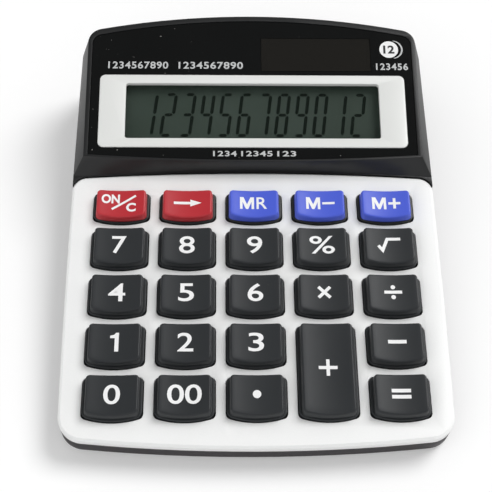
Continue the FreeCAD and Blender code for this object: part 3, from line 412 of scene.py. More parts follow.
FINISH = {
    "white_shell": plastic("satin_white", (0.92, 0.925, 0.92), 0.42, 2600.0, 5e-6, 0.02,
                           rubbed=0.05, dust=0.0),
    "charcoal_shell": plastic("textured_charcoal", (0.028, 0.024, 0.027), 0.5, 2200.0, 2e-5),
    "black_shell": plastic("fine_black", (0.0095, 0.010, 0.0105), 0.38, 2600.0, 8e-6,
                           Specular_IOR_Level=0.4),
    "black_gloss": plastic("polished_black", (0.0030, 0.0034, 0.0034), 0.12, 500.0, 1e-6, 0.3,
                           gloss_drift=0.06, rubbed=0.0, dust=0.4, Specular_IOR_Level=0.3),
    "silver_frame": plastic("pearl_silver", (0.80, 0.81, 0.79), 0.34, 5200.0, 4e-6, 0.03,
                            rubbed=0.0, dust=0.0, Metallic=0.05),
    "clear_window": window("clear_pane", (0.06, 0.075, 0.065), 0.06, 0.05),
    "smoked_window": window("smoked_pane", (0.010, 0.009, 0.007), 0.86, 0.08),
    "lcd_glass": display_glass(),
    "solar_cell": solar_silicon(),
    "key_black": plastic("key_satin_black", (0.019, 0.0215, 0.024), 0.44, 2400.0, 9e-6,
                         rubbed=0.25, rubbed_colour=(0.05, 0.052, 0.056),
                         Specular_IOR_Level=0.35),
    "key_red": plastic("key_satin_red", (0.47, 0.017, 0.027), 0.40, 2400.0, 9e-6,
                       rubbed=0.25, rubbed_colour=(0.62, 0.08, 0.09)),
    "key_blue": plastic("key_satin_blue", (0.062, 0.108, 0.66), 0.40, 2400.0, 9e-6,
                        rubbed=0.25, rubbed_colour=(0.2, 0.26, 0.85)),
    "silicone": plastic("translucent_silicone", (0.42, 0.42, 0.40), 0.55, 1500.0, 1e-5,
                        Subsurface_Weight=0.15),
    "foot_rubber": plastic("black_rubber", (0.022, 0.022, 0.022), 0.7, 1800.0, 2e-5, 0.2),
    "board": circuit_board(),
    "resin": plastic("poured_resin", (0.008, 0.008, 0.009), 0.18, 700.0, 3e-6, 0.2),
    "inner_plastic": plastic("plain_grey", (0.07, 0.07, 0.072), 0.5, 2000.0, 1e-5),
    "steel": metal("zinc_steel", (0.56, 0.57, 0.58), 0.28, 0.25),
    "contact": metal("nickel_spring", (0.66, 0.63, 0.57), 0.22, 0.15),
    "cell_jacket": plastic("cell_sleeve", (0.022, 0.024, 0.03), 0.22, 900.0, 2e-6,
                           Coat_Weight=0.3),
    "lead_red": plastic("lead_red", (0.42, 0.02, 0.02), 0.4, 1500.0, 6e-6),
    "ribbon": plastic("ribbon_grey", (0.6, 0.6, 0.57), 0.45, 1500.0, 8e-6),
}
# Key skirts: the coloured keys' skirts are black mouldings, and this finish's extra depth of black, darker than
# the keys, is painted shade
SKIRT_BLACK_AND_SHADE = plastic("key_skirt_black_painted_shade", (0.009, 0.010, 0.011), 0.42, 2400.0, 9e-6, rubbed=0.15,
                      rubbed_colour=(0.03, 0.031, 0.033))
PRINT_WHITE = plastic("print_white", (0.88, 0.88, 0.88), 0.45, 4000.0, 4e-6, 0.05, rubbed=0.0)
PRINT_SILVER = plastic("print_silver", (0.55, 0.56, 0.56), 0.4, 4000.0, 4e-6, 0.05, rubbed=0.0)
PRINT_BLACK = plastic("print_black", (0.01, 0.01, 0.011), 0.35, 4000.0, 4e-6, 0.1, rubbed=0.0)
DISPLAY_INK = plastic("display_ink", (0.003, 0.006, 0.004), 0.7, 4000.0, 2e-6, 0.3, rubbed=0.0,
                      dust=0.0, Specular_IOR_Level=0.0)


# ---- Making pieces ----
def new_object(name, data):
    made = bpy.data.objects.new(name, data)
    bpy.context.scene.collection.objects.link(made)
    return made


def piece(name, mesh, finish, body, replaces=()):
    """Names a mesh that is already in its place, finishes it and lets it ride on a body."""
    mesh.name = name
    mesh.materials.clear()
    for one in finish if isinstance(finish, list) else [finish]:
        mesh.materials.append(one)
    made = new_object(name, mesh)
    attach(made, body)
    if replaces:
        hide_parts(*replaces)


def plain_mesh(source):
    """The evaluated mesh of a scratch object, which is then removed."""
    graph = bpy.context.evaluated_depsgraph_get()
    mesh = bpy.data.meshes.new_from_object(source.evaluated_get(graph), depsgraph=graph)
    bpy.data.objects.remove(source)
    return mesh


def finished(bm, matrix):
    """A mesh from a closed bmesh in local millimetres, normals out, in its place."""
    bmesh.ops.remove_doubles(bm, verts=bm.verts, dist=1e-4)
    bmesh.ops.recalc_face_normals(bm, faces=bm.faces)
    mesh = bpy.data.meshes.new("made")
    bm.to_mesh(mesh)
    bm.free()
    mesh.transform(matrix)
    mesh.shade_smooth()
    mesh.set_sharp_from_angle(angle=SMOOTH_EDGE)
    return mesh


def softened(node, name, width):
    """A CAD piece with its moulded edges rounded."""
    mesh = frame["nodes"][node].data.copy()
    bm = bmesh.new()
    bm.from_mesh(mesh)
    bmesh.ops.remove_doubles(bm, verts=bm.verts, dist=2e-6)
    bmesh.ops.dissolve_limit(bm, angle_limit=FLAT_JOIN, verts=bm.verts, edges=bm.edges,
                             use_dissolve_boundaries=False)
    bm.to_mesh(mesh)
    bm.free()
    mesh.shade_smooth()
    made = new_object("scratch", mesh)
    bevel = made.modifiers.new("rounded", "BEVEL")
    bevel.width = width * MM
    bevel.segments = EDGE_FACETS
    bevel.limit_method = "ANGLE"
    bevel.angle_limit = SHARP_EDGE
    bevel.harden_normals = True
    bevel.miter_outer = "MITER_ARC"
    slot = SLOT_OF[node]
    body = "door" if node == "battery_cover" else "case"
    piece(name, plain_mesh(made), FINISH[slot], body, (node,))


# ---- Key shapes ----
def outline(half, back, front, bow, corner):
    """Points round a rounded rectangle whose front edge bows towards the user."""
    points = []
    corners = (
        (half - corner, back - corner, 0.0), (-half + corner, back - corner, 90.0),
        (-half + corner, front + corner, 180.0), (half - corner, front + corner, 270.0))
    for index, (x, y, start) in enumerate(corners):
        for step in range(CORNER_STEPS + 1):
            turn = math.radians(start + 90.0 * step / CORNER_STEPS)
            points.append((x + corner * math.cos(turn), y + corner * math.sin(turn)))
        next_x, next_y, next_start = corners[(index + 1) % 4]
        turn = math.radians(next_start)
        end = (next_x + corner * math.cos(turn), next_y + corner * math.sin(turn))
        last_x, last_y = points[-1]
        for step in range(1, EDGE_STEPS):
            share = step / EDGE_STEPS
            points.append((last_x + (end[0] - last_x) * share, last_y + (end[1] - last_y) * share))
    bowed = []
    for x, y in points:
        forward = (back - y) / (back - front)
        bowed.append((x, y - bow * (1 - (x / half) ** 2) * forward))
    return bowed


def dish_height(x):
    """The cap top's height above the deck, hollowed across its width."""
    return CAP_RISE - DISH * (1 - min(1.0, abs(x) / CAP_TOP_HALF) ** 2)


def stacked(loops, hub_z):
    """A closed skin over loops of as many points each, with a hub inside the last."""
    bm = bmesh.new()
    rings = [[bm.verts.new(point) for point in loop] for loop in loops]
    for low, high in zip(rings, rings[1:]):
        for i in range(len(low)):
            j = (i + 1) % len(low)
            bm.faces.new((low[i], low[j], high[j], high[i]))
    bm.faces.new(list(reversed(rings[0])))
    centre = sum((v.co for v in rings[-1]), Vector()) / len(rings[-1])
    centre.z = hub_z
    hub = bm.verts.new(centre)
    for i in range(len(rings[-1])):
        bm.faces.new((rings[-1][i], rings[-1][(i + 1) % len(rings[-1])], hub))
    return bm


def at_height(points, z):
    return [(x, y, z) for x, y in points]


def skirt_loops(depth):
    """The skirt's upright side and its rounded top edge."""
    loops = [at_height(outline(KEY_HALF, 0.0, -depth, KEY_BOW, KEY_CORNER), KEY_UNDER)]
    for step in range(SKIRT_STEPS + 1):
        turn = math.radians(90.0 * step / SKIRT_STEPS)
        inset = SKIRT_ROUND * (1 - math.cos(turn))
        z = SKIRT_RISE - SKIRT_ROUND * (1 - math.sin(turn))
        loops.append(at_height(
            outline(KEY_HALF - inset, -inset, -depth + inset, KEY_BOW, KEY_CORNER - inset), z))
    return loops


def cap_loops(depth, foot_z):
    """Foot flare, drafted sides, rounded shoulder and dished top of a cap."""
    loops = []
    rise = CAP_RISE - SKIRT_RISE

    def section(share, inset):
        half = CAP_FOOT_HALF + (CAP_TOP_HALF - CAP_FOOT_HALF) * share - inset
        back = CAP_FOOT_BACK + (CAP_TOP_BACK - CAP_FOOT_BACK) * share - inset
        front = -depth + CAP_TOP_FRONT * share + inset
        return outline(half, back, front, CAP_BOW, max(CAP_CORNER_LEAST, CAP_CORNER - inset * 0.5))

    loops.append(at_height(section(0.0, 0.0), foot_z))
    loops.append(at_height(section(0.0, 0.0), SKIRT_RISE + CAP_FOOT_BAND))
    loops.append(at_height(section(CAP_KNEE, 0.0), SKIRT_RISE + rise * CAP_KNEE))
    loops.append([(x, y, dish_height(x) - CAP_ROUND) for x, y in section(CAP_SHOULDER, 0.0)])
    for step in range(1, CAP_STEPS + 1):
        turn = math.radians(90.0 * step / CAP_STEPS)
        inset = CAP_ROUND * (1 - math.cos(turn))
        drop = CAP_ROUND * (1 - math.sin(turn))
        share = 1.0 - drop / rise
        loops.append([(x, y, dish_height(x) - drop) for x, y in section(share, inset)])
    inner = loops[-1]
    mid_y = (min(p[1] for p in inner) + max(p[1] for p in inner)) / 2
    for share in DISH_RINGS:
        loops.append([(x * share, mid_y + (y - mid_y) * share, dish_height(x * share))
                      for x, y, _ in inner])
    return loops


def add_box(bm, low, high):
    size = [b - a for a, b in zip(low, high)]
    centre = [(a + b) / 2 for a, b in zip(low, high)]
    place = Matrix.Translation(centre) @ Matrix.Diagonal((*size, 1.0))
    bmesh.ops.create_cube(bm, size=1.0, matrix=place)


def add_under(bm, depth):
    """The retaining lips and the plunger that presses the dome."""
    for side in (-1, 1):
        inner, outer = sorted((side * (KEY_HALF - LIP_BITE), side * LIP_REACH))
        add_box(bm, (inner, -depth + LIP_SETBACK, KEY_UNDER), (outer, -LIP_SETBACK, LIP_TOP))
    middle_z = (PLUNGER_TIP + KEY_UNDER) / 2 + PLUNGER_BITE / 2
    height = KEY_UNDER - PLUNGER_TIP + PLUNGER_BITE
    bmesh.ops.create_cone(
        bm, cap_ends=True, segments=PLUNGER_SIDES, radius1=PLUNGER / 2, radius2=PLUNGER / 2,
        depth=height, matrix=Matrix.Translation((0, -depth / 2, middle_z)))


def key_seat(base, cap):
    """The middle of a key's back edge at the deck surface, from its CAD boxes."""
    base_low, base_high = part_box(base)
    cap_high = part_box(cap)[1]
    y = base_high.y + KEY_UNDER * MM * math.sin(DECK_TILT)
    z = cap_high.z + MM * (-CAP_PEAK_BACK * math.sin(DECK_TILT) - CAP_RISE * math.cos(DECK_TILT))
    front_low = SKIRT_RISE * math.sin(DECK_TILT)
    depth = ((y - base_low.y) / MM - front_low) / math.cos(DECK_TILT) - KEY_BOW
    return seat(Vector(((base_low.x + base_high.x) / 2, y, z)), DECK_TILT), depth


def paint_skirt_shade(bm):
    """The skirt's faces take the second finish, a deeper black that is painted shade."""
    for face in bm.faces:
        face.material_index = int(max(v.co.z for v in face.verts) < SKIRT_RISE + NEAR)


def make_key(body):
    """One key's pieces; returns its seat and depth for the legend."""
    if body in frame["nodes"]:
        place, depth = key_seat(body, body)
        bm = stacked(skirt_loops(depth) + cap_loops(depth, SKIRT_RISE), dish_height(0.0))
        add_under(bm, depth)
        # Painted shade: the skirt faces of a black key get a darker black than its cap
        paint_skirt_shade(bm)
        finish = [FINISH["key_black"], SKIRT_BLACK_AND_SHADE]
        piece(body + "_moulding", finished(bm, place), finish, body, (body,))
        return place, depth
    base, cap = body + "_base", body + "_cap"
    place, depth = key_seat(base, cap)
    bm = stacked(skirt_loops(depth), SKIRT_RISE)
    add_under(bm, depth)
    # The coloured key's black skirt, in the deeper black that is painted shade
    piece(base + "_moulding", finished(bm, place), SKIRT_BLACK_AND_SHADE, body, (base,))
    slot = SLOT_OF[cap]
    bm = stacked(cap_loops(depth, SKIRT_RISE + SKIRT_GAP), dish_height(0.0))
    piece(cap + "_moulding", finished(bm, place), FINISH[slot], body, (cap,))
    return place, depth


# ---- Prints ----
DISC_SIDES = 28
FONT_STEPS = 5                      # facets of a curve in a letter
LEAST_MITRE = 0.4


def bar(x, y, width, height):
    return [(x - width / 2, y - height / 2), (x + width / 2, y - height / 2),
            (x + width / 2, y + height / 2), (x - width / 2, y + height / 2)]


def disc(x, y, diameter):
    turns = [2 * math.pi * i / DISC_SIDES for i in range(DISC_SIDES)]
    return [(x + diameter / 2 * math.cos(t), y + diameter / 2 * math.sin(t)) for t in turns]


def cross(x, y, width, height, stroke, turn=0.0):
    w, h, s = width / 2, height / 2, stroke / 2
    points = [(s, s), (s, h), (-s, h), (-s, s), (-w, s), (-w, -s), (-s, -s), (-s, -h), (s, -h),
              (s, -s), (w, -s), (w, s)]
    c, n = math.cos(turn), math.sin(turn)
    return [(x + a * c - b * n, y + a * n + b * c) for a, b in points]


def thick_line(points, stroke):
    """The outline of a mitred line."""
    left, right = [], []
    for i, point in enumerate(points):
        here = Vector(point)
        into = (here - Vector(points[i - 1])).normalized() if i else None
        out = (Vector(points[i + 1]) - here).normalized() if i + 1 < len(points) else None
        along = ((into or out) + (out or into)).normalized()
        normal = Vector((-along.y, along.x))
        side = Vector((-(into or out).y, (into or out).x))
        reach = stroke / 2 / max(LEAST_MITRE, abs(normal.dot(side)))
        left.append(tuple(here + normal * reach))
        right.append(tuple(here - normal * reach))
    return left + right[::-1]


def flat_shapes(outlines):
    """Closed outlines as a thin filled mesh; an outline inside another is a hole."""
    curve = bpy.data.curves.new("print", "CURVE")
    curve.dimensions = "2D"
    curve.fill_mode = "BOTH"
    curve.extrude = PRINT_THICK / 2
    for points in outlines:
        spline = curve.splines.new("POLY")
        spline.points.add(len(points) - 1)
        for target, (x, y) in zip(spline.points, points):
            target.co = (x, y, 0.0, 1.0)
        spline.use_cyclic_u = True
    return plain_mesh(new_object("scratch", curve))


def flat_text(words, x, y, width, height, weight=0.0, spacing=1.0):
    """Plain characters as a thin mesh, fitted to a width and height about x, y."""
    curve = bpy.data.curves.new("print", "FONT")
    curve.body = words
    curve.size = height
    curve.offset = weight
    curve.space_character = spacing
    curve.extrude = PRINT_THICK / 2
    curve.resolution_u = FONT_STEPS
    mesh = plain_mesh(new_object("scratch", curve))
    xs = [v.co.x for v in mesh.vertices]
    ys = [v.co.y for v in mesh.vertices]
    scale = Matrix.Diagonal((width / (max(xs) - min(xs)), height / (max(ys) - min(ys)), 1.0, 1.0))
    centre = Matrix.Translation((-(max(xs) + min(xs)) / 2, -(max(ys) + min(ys)) / 2, 0))
    mesh.transform(Matrix.Translation((x, y, 0)) @ scale @ centre)
    return mesh


def joined(meshes):
    bm = bmesh.new()
    for mesh in meshes:
        bm.from_mesh(mesh)
        bpy.data.meshes.remove(mesh)
    return bm


def drape(bm, lift):
    """Bends a flat print over a key's dish."""
    reach = max(abs(v.co.x) for v in bm.verts)
    cuts = int(reach / PRINT_CUT)
    for i in range(-cuts, cuts + 1):
        everything = bm.verts[:] + bm.edges[:] + bm.faces[:]
        bmesh.ops.bisect_plane(
            bm, geom=everything, plane_co=(i * PRINT_CUT, 0, 0), plane_no=(1, 0, 0), dist=1e-4)
    for vert in bm.verts:
        vert.co.z += dish_height(vert.co.x) + lift


# Key marks, drawn about the middle of the cap's top.
DIGIT_WIDTHS = {"0": 5.1, "2": 5.0, "3": 4.9, "4": 5.4, "5": 5.0, "6": 5.0, "7": 4.7, "8": 5.1,
                "9": 5.0}
TWO_ZEROS = 5.4                     # between the middles of the double zero
ONE = [(0.1, -3.15), (1.35, -3.15), (1.35, 3.15), (0.45, 3.15), (-0.15, 2.45), (-1.35, 2.15),
       (-1.35, 1.35), (0.1, 1.35)]
ARROW = [(-4.6, -0.48), (0.9, -0.48), (0.9, -1.3), (4.6, 0.0), (0.9, 1.3), (0.9, 0.48),
         (-4.6, 0.48)]
ROOT = [(-3.6, -0.3), (-2.3, -2.0), (-0.6, 2.1), (3.7, 2.1)]
TIMES = 5.3
DIVIDE, DIVIDE_DOT, DIVIDE_RISE = 5.7, 1.45, 1.75
MINUS, MINUS_STROKE = 5.8, 1.2
PLUS_WIDTH, PLUS_HEIGHT = 5.8, 5.4
EQUALS, EQUALS_STROKE, EQUALS_RISE = 5.9, 1.15, 0.98
POINT = 2.6
PERCENT_WIDTH, PERCENT_HEIGHT, PERCENT_WEIGHT = 8.2, 6.5, 0.05
MEMORY_LETTER, MEMORY_LETTER_X = 4.7, -2.3
MEMORY_SIGN, MEMORY_SIGN_X = 4.0, 2.8
MEMORY_MINUS = 4.1
MEMORY_PLUS_STROKE = 0.9
RECALL_WIDTH, RECALL_X, RECALL_WEIGHT = 3.5, 2.6, 0.05
CLEAR_SLASH = [(-3.0, -2.4), (4.8, 2.7)]
CLEAR_STROKE, CLEAR_WEIGHT = 0.75, 0.13
CLEAR_LETTERS = (("ON", -3.5, 1.5, 6.0, 3.5), ("C", 3.3, -1.7, 3.2, 3.3))    # x, y, width, height
SIGNS = {
    "shift": [ARROW],
    "root": [thick_line(ROOT, STROKE)],
    "times": [cross(0, 0, TIMES, TIMES, STROKE, math.radians(45))],
    "divide": [bar(0, 0, DIVIDE, STROKE), disc(0, DIVIDE_RISE, DIVIDE_DOT),
               disc(0, -DIVIDE_RISE, DIVIDE_DOT)],
    "minus": [bar(0, 0, MINUS, MINUS_STROKE)],
    "plus": [cross(0, 0, PLUS_WIDTH, PLUS_HEIGHT, STROKE)],
    "equals": [bar(0, EQUALS_RISE, EQUALS, EQUALS_STROKE),
               bar(0, -EQUALS_RISE, EQUALS, EQUALS_STROKE)],
    "point": [disc(0, 0, POINT)],
}


def digit(character, x=0.0):
    """A numeral; the one is drawn, with a broad flag of its own."""
    if character == "1":
        return flat_shapes([ONE])
    return flat_text(character, x, 0.0, DIGIT_WIDTHS[character], DIGIT_HEIGHT, DIGIT_WEIGHT)


def letter_m(x, width, height, stroke):
    """A plain M as half an outline and its mirror."""
    w, h = width / 2, height / 2
    half = [(0.45 * stroke, -h), (w - stroke, h - 2.1 * stroke), (w - stroke, -h), (w, -h), (w, h),
            (w - 1.4 * stroke, h), (0.0, -h + 2.1 * stroke)]
    mirrored = [(-a, b) for a, b in half[-2::-1]]
    return [(x + a, b) for a, b in half + mirrored]


def memory(mark):
    """The memory keys' marks: a letter and what the key does."""
    letter = flat_shapes([letter_m(MEMORY_LETTER_X, MEMORY_LETTER, MEMORY_HEIGHT, MEMORY_STROKE)])
    if mark == "minus":
        sign = bar(MEMORY_SIGN_X, 0.0, MEMORY_MINUS, MEMORY_STROKE)
        return [letter, flat_shapes([sign])]
    if mark == "plus":
        sign = cross(MEMORY_SIGN_X, 0.0, MEMORY_SIGN, MEMORY_SIGN, MEMORY_PLUS_STROKE)
        return [letter, flat_shapes([sign])]
    return [letter, flat_text("R", RECALL_X, 0.0, RECALL_WIDTH, MEMORY_HEIGHT, RECALL_WEIGHT)]


def legend(body):
    """The flat meshes of a key's mark, about the middle of its cap."""
    mark = body[len("key_"):]
    if mark == "00":
        return [digit("0", -TWO_ZEROS / 2), digit("0", TWO_ZEROS / 2)]
    if mark.isdigit():
        return [digit(mark)]
    if mark.startswith("memory_"):
        return memory(mark[len("memory_"):])
    if mark == "on_clear":
        slash = flat_shapes([thick_line(CLEAR_SLASH, CLEAR_STROKE)])
        on, clear = (flat_text(*letters, CLEAR_WEIGHT) for letters in CLEAR_LETTERS)
        return [on, slash, clear]
    if mark == "percent":
        return [flat_text("%", 0.0, 0.0, PERCENT_WIDTH, PERCENT_HEIGHT, PERCENT_WEIGHT)]
    return [flat_shapes(SIGNS[mark])]


def make_keys():
    for joint in frame["joints"]:
        if not joint["name"].endswith("_press"):
            continue
        body = joint["child"]
        place, depth = make_key(body)
        bm = joined(legend(body))
        drape(bm, PRINT_THICK / 2)
        centre = (CAP_TOP_BACK - depth + CAP_TOP_FRONT - CAP_BOW / 2) / 2
        to_middle = Matrix.Translation((0, centre, 0))
        piece(body + "_mark", finished(bm, place @ to_middle), PRINT_WHITE, body)


# ---- Prints on the display face ----
# Rows of small numbers: {piece: (place up the face, height, weight, spacing, groups)}, where a
# group is its characters, the place of its middle across the face and its width.
FACE_NUMBERS = {
    "face_numbers_left": (17.6, 2.8, 0.05, 1.1,
                          (("1234567890", -39.7, 20.8), ("1234567890", -14.5, 22.4))),
    "face_numbers_right": (17.4, 2.7, 0.06, 1.15, (("123456", 48.8, 11.2),)),
    "face_numbers_front": (-16.1, 2.0, 0.04, 1.1,
                           (("1234", -9.6, 8.0), ("12345", 1.2, 10.6), ("123", 11.3, 6.4))),
}
DISC_X, DISC_Y, DISC = 48.0, 24.2, 6.6
DISC_NUMBER_WIDTH, DISC_NUMBER_HEIGHT, DISC_NUMBER_WEIGHT = 3.9, 3.2, 0.1
CRESCENT_X, CRESCENT_HALF = 49.3, 3.6
CRESCENT_STROKE, CRESCENT_TIP = 0.55, 0.12      # thickness at the middle, blunt end
CRESCENT_TURN, CRESCENT_STEPS = 80.0, 20


def on_face(name, meshes, finish, lift):
    """A print seated over the middle of the display's pane."""
    bm = joined(meshes)
    for vert in bm.verts:
        vert.co.z += lift
    piece(name, finished(bm, FACE_SEAT), finish, "case")


def face_prints():
    """Plain numbers where the face plate has its small prints, and the numbered disc."""
    lift = FACE_OVER_PANE + PRINT_THICK / 2
    for name, (y, height, weight, spacing, groups) in FACE_NUMBERS.items():
        meshes = [flat_text(words, x, y, width, height, weight, spacing)
                  for words, x, width in groups]
        on_face(name, meshes, PRINT_SILVER, lift)
    turns = [math.radians(-CRESCENT_TURN + 2 * CRESCENT_TURN * i / CRESCENT_STEPS)
             for i in range(CRESCENT_STEPS + 1)]
    outer = [(CRESCENT_X + CRESCENT_HALF * math.cos(t), DISC_Y + CRESCENT_HALF * math.sin(t))
             for t in turns]
    inner = [(CRESCENT_X - CRESCENT_STROKE + CRESCENT_HALF * math.cos(t),
              DISC_Y + (CRESCENT_HALF - CRESCENT_TIP) * math.sin(t)) for t in turns]
    on_face("disc_ring", [flat_shapes([outer + inner[::-1]])], PRINT_SILVER, lift)
    on_face("disc", [flat_shapes([disc(DISC_X, DISC_Y, DISC)])], PRINT_WHITE, lift)
    number = flat_text("12", DISC_X, DISC_Y, DISC_NUMBER_WIDTH, DISC_NUMBER_HEIGHT,
                       DISC_NUMBER_WEIGHT)
    on_face("disc_number", [number], PRINT_BLACK, lift + PRINT_THICK)


# ---- Display digits ----
SEGMENTS = {"0": "abcdef", "1": "bc", "2": "abged", "3": "abgcd", "4": "fgbc", "5": "afgcd",
            "6": "afgedc", "7": "abc", "8": "abcdefg", "9": "abcdfg"}


def segment(kind):
    """One pointed segment of a digit, about the digit's middle."""
    w, h = PLACE_WIDTH / 2 - SEGMENT / 2, PLACE_HEIGHT / 2 - SEGMENT / 2
    s, g = SEGMENT / 2, SEGMENT_GAP
    ends = {"a": ((-w, h), (w, h)), "g": ((-w, 0), (w, 0)), "d": ((-w, -h), (w, -h)),
            "f": ((-w, 0), (-w, h)), "b": ((w, 0), (w, h)), "e": ((-w, -h), (-w, 0)),
            "c": ((w, -h), (w, 0))}
    (x0, y0), (x1, y1) = ends[kind]
    if y0 == y1:
        return [(x0 + g, y0), (x0 + g + s, y0 - s), (x1 - g - s, y0 - s), (x1 - g, y0),
                (x1 - g - s, y0 + s), (x0 + g + s, y0 + s)]
    return [(x0, y0 + g), (x0 + s, y0 + g + s), (x0 + s, y1 - g - s), (x0, y1 - g),
            (x0 - s, y1 - g - s), (x0 - s, y0 + g + s)]


def display_digits():
    """A leaning digit in every place of the display, counting up from one."""
    shapes = []
    for place in range(PLACES):
        character = str((place + 1) % 10)
        x = FIRST_PLACE + place * PLACE_PITCH
        for kind in SEGMENTS[character]:
            shapes.append([(x + a + b * math.tan(SLANT), b) for a, b in segment(kind)])
    on_face("display_digits", [flat_shapes(shapes)], DISPLAY_INK, -GLASS_UNDER_PANE + PRINT_THICK)


# ---- Shells ----
# CAD node, piece and width of its softened edges.
SHELLS = (("keyboard_cover", "cover_shell", 0.22), ("bottom_case", "case_shell", 0.3),
          ("display_housing", "display_shell", 0.5), ("lcd_bezel", "display_frame", 0.2),
          ("battery_cover", "battery_door", 0.15))


def make_shells():
    for node, name, width in SHELLS:
        softened(node, name, width)


# ---- Repeated pieces, by geometry nodes ----
FOOT = 9.0                          # diameter
FOOT_SIDES = 48
FOOT_RIB = 0.32                     # radius of a foot's raised rings
FOOT_RINGS = (0.93, 0.66, 0.39)     # ring radii, as shares of the foot's radius
RIB_SIDES = 12
FINGERS = 7                         # collector lines over the solar cell
FINGER_RADIUS = 0.05
FINGER_SIDES = 8
FINGER_REACH = 0.85                 # a finger's length, as a share of the cell's
FINGER_LEVEL = 0.46                 # its place between cell and window, as a share of the way


def new_geometry(name, inputs):
    """An empty geometry tree, with inputs {name: (socket type, default)}."""
    tree = bpy.data.node_groups.new(name, "GeometryNodeTree")
    for label, (kind, value) in inputs.items():
        socket = tree.interface.new_socket(label, in_out="INPUT", socket_type=kind)
        if value is not None:
            socket.default_value = value
    tree.interface.new_socket("Geometry", in_out="OUTPUT", socket_type="NodeSocketGeometry")
    given = tree.nodes.new("NodeGroupInput").outputs
    return tree, given, tree.nodes.new("NodeGroupOutput").inputs


def add_node(tree, kind, links=None, **values):
    """A node with its sockets linked or set by name."""
    node = tree.nodes.new(kind)
    for label, value in values.items():
        node.inputs[label.replace("_", " ")].default_value = value
    for label, source in (links or {}).items():
        tree.links.new(source, node.inputs[label])
    return node


def circle(tree, radius, sides):
    node = add_node(tree, "GeometryNodeCurvePrimitiveCircle", {"Radius": radius}, Resolution=sides)
    return node.outputs["Curve"]


def tree_end(tree, out, instances, finish):
    """Realize Instances and Set Material, as every tree ends."""
    real = add_node(tree, "GeometryNodeRealizeInstances", {"Geometry": instances})
    done = add_node(tree, "GeometryNodeSetMaterial",
                    {"Geometry": real.outputs[0], "Material": finish})
    tree.links.new(done.outputs[0], out["Geometry"])


def ribbed_feet_tree():
    """Four round feet at the corners of a rectangle, each a disc with raised rings under it."""
    tree, given, out = new_geometry("ribbed_feet", {
        "Across": (NUMBER, 84.0), "Along": (NUMBER, 127.0),
        "Radius": (NUMBER, FOOT / 2), "Thickness": (NUMBER, 1.6),
        "Rib": (NUMBER, FOOT_RIB), "Finish": ("NodeSocketMaterial", None)})
    depth = math_node(tree, "SUBTRACT", given["Thickness"], given["Rib"])
    pad_middle = math_node(tree, "MULTIPLY_ADD", depth, 0.5, given["Rib"])
    lift = add_node(tree, "ShaderNodeCombineXYZ", {"Z": pad_middle})
    pad = add_node(tree, "GeometryNodeMeshCylinder", {"Radius": given["Radius"], "Depth": depth},
                   Vertices=FOOT_SIDES)
    raised = add_node(tree, "GeometryNodeTransform",
                      {"Geometry": pad.outputs["Mesh"], "Translation": lift.outputs[0]})
    foot = tree.nodes.new("GeometryNodeJoinGeometry")
    tree.links.new(raised.outputs[0], foot.inputs[0])
    bead = circle(tree, given["Rib"], RIB_SIDES)
    low = add_node(tree, "ShaderNodeCombineXYZ", {"Z": given["Rib"]})
    for share in FOOT_RINGS:
        rail = circle(tree, math_node(tree, "MULTIPLY", given["Radius"], share), FOOT_SIDES)
        ring = add_node(tree, "GeometryNodeCurveToMesh", {"Curve": rail, "Profile Curve": bead})
        seated = add_node(tree, "GeometryNodeTransform",
                          {"Geometry": ring.outputs[0], "Translation": low.outputs[0]})
        tree.links.new(seated.outputs[0], foot.inputs[0])
    corners = add_node(tree, "GeometryNodeMeshGrid",
                       {"Size X": given["Across"], "Size Y": given["Along"]},
                       Vertices_X=2, Vertices_Y=2)
    feet = add_node(tree, "GeometryNodeInstanceOnPoints",
                    {"Points": corners.outputs["Mesh"], "Instance": foot.outputs[0]})
    tree_end(tree, out, feet.outputs[0], given["Finish"])
    return tree


def finger_tree():
    """A row of thin round wires side by side."""
    tree, given, out = new_geometry("collector_fingers", {
        "Count": ("NodeSocketInt", FINGERS), "Pitch": (NUMBER, 5.0),
        "Length": (NUMBER, 11.0), "Radius": (NUMBER, FINGER_RADIUS),
        "Finish": ("NodeSocketMaterial", None)})
    half = math_node(tree, "MULTIPLY", given["Length"], 0.5)
    start = add_node(tree, "ShaderNodeCombineXYZ", {"Y": math_node(tree, "MULTIPLY", half, -1.0)})
    end = add_node(tree, "ShaderNodeCombineXYZ", {"Y": half})
    rail = add_node(tree, "GeometryNodeCurvePrimitiveLine",
                    {"Start": start.outputs[0], "End": end.outputs[0]})
    wire = circle(tree, given["Radius"], FINGER_SIDES)
    finger = add_node(tree, "GeometryNodeCurveToMesh",
                      {"Curve": rail.outputs[0], "Profile Curve": wire}, Fill_Caps=True)
    gaps = math_node(tree, "SUBTRACT", given["Count"], 1.0)
    reach = math_node(tree, "MULTIPLY", gaps, given["Pitch"])
    first = add_node(tree, "ShaderNodeCombineXYZ", {"X": math_node(tree, "MULTIPLY", reach, -0.5)})
    step = add_node(tree, "ShaderNodeCombineXYZ", {"X": given["Pitch"]})
    row = add_node(tree, "GeometryNodeMeshLine",
                   {"Count": given["Count"], "Start Location": first.outputs[0],
                    "Offset": step.outputs[0]})
    wires = add_node(tree, "GeometryNodeInstanceOnPoints",
                     {"Points": row.outputs[0], "Instance": finger.outputs[0]})
    tree_end(tree, out, wires.outputs[0], given["Finish"])
    return tree


def from_tree(tree, **values):
    """A bmesh of what a geometry tree makes with these inputs."""
    made = new_object("scratch", bpy.data.meshes.new("seed"))
    modifier = made.modifiers.new("nodes", "NODES")
    modifier.node_group = tree
    for item in tree.interface.items_tree:
        if item.in_out == "INPUT" and item.name in values:
            modifier[item.identifier] = values[item.name]
    return joined([plain_mesh(made)])


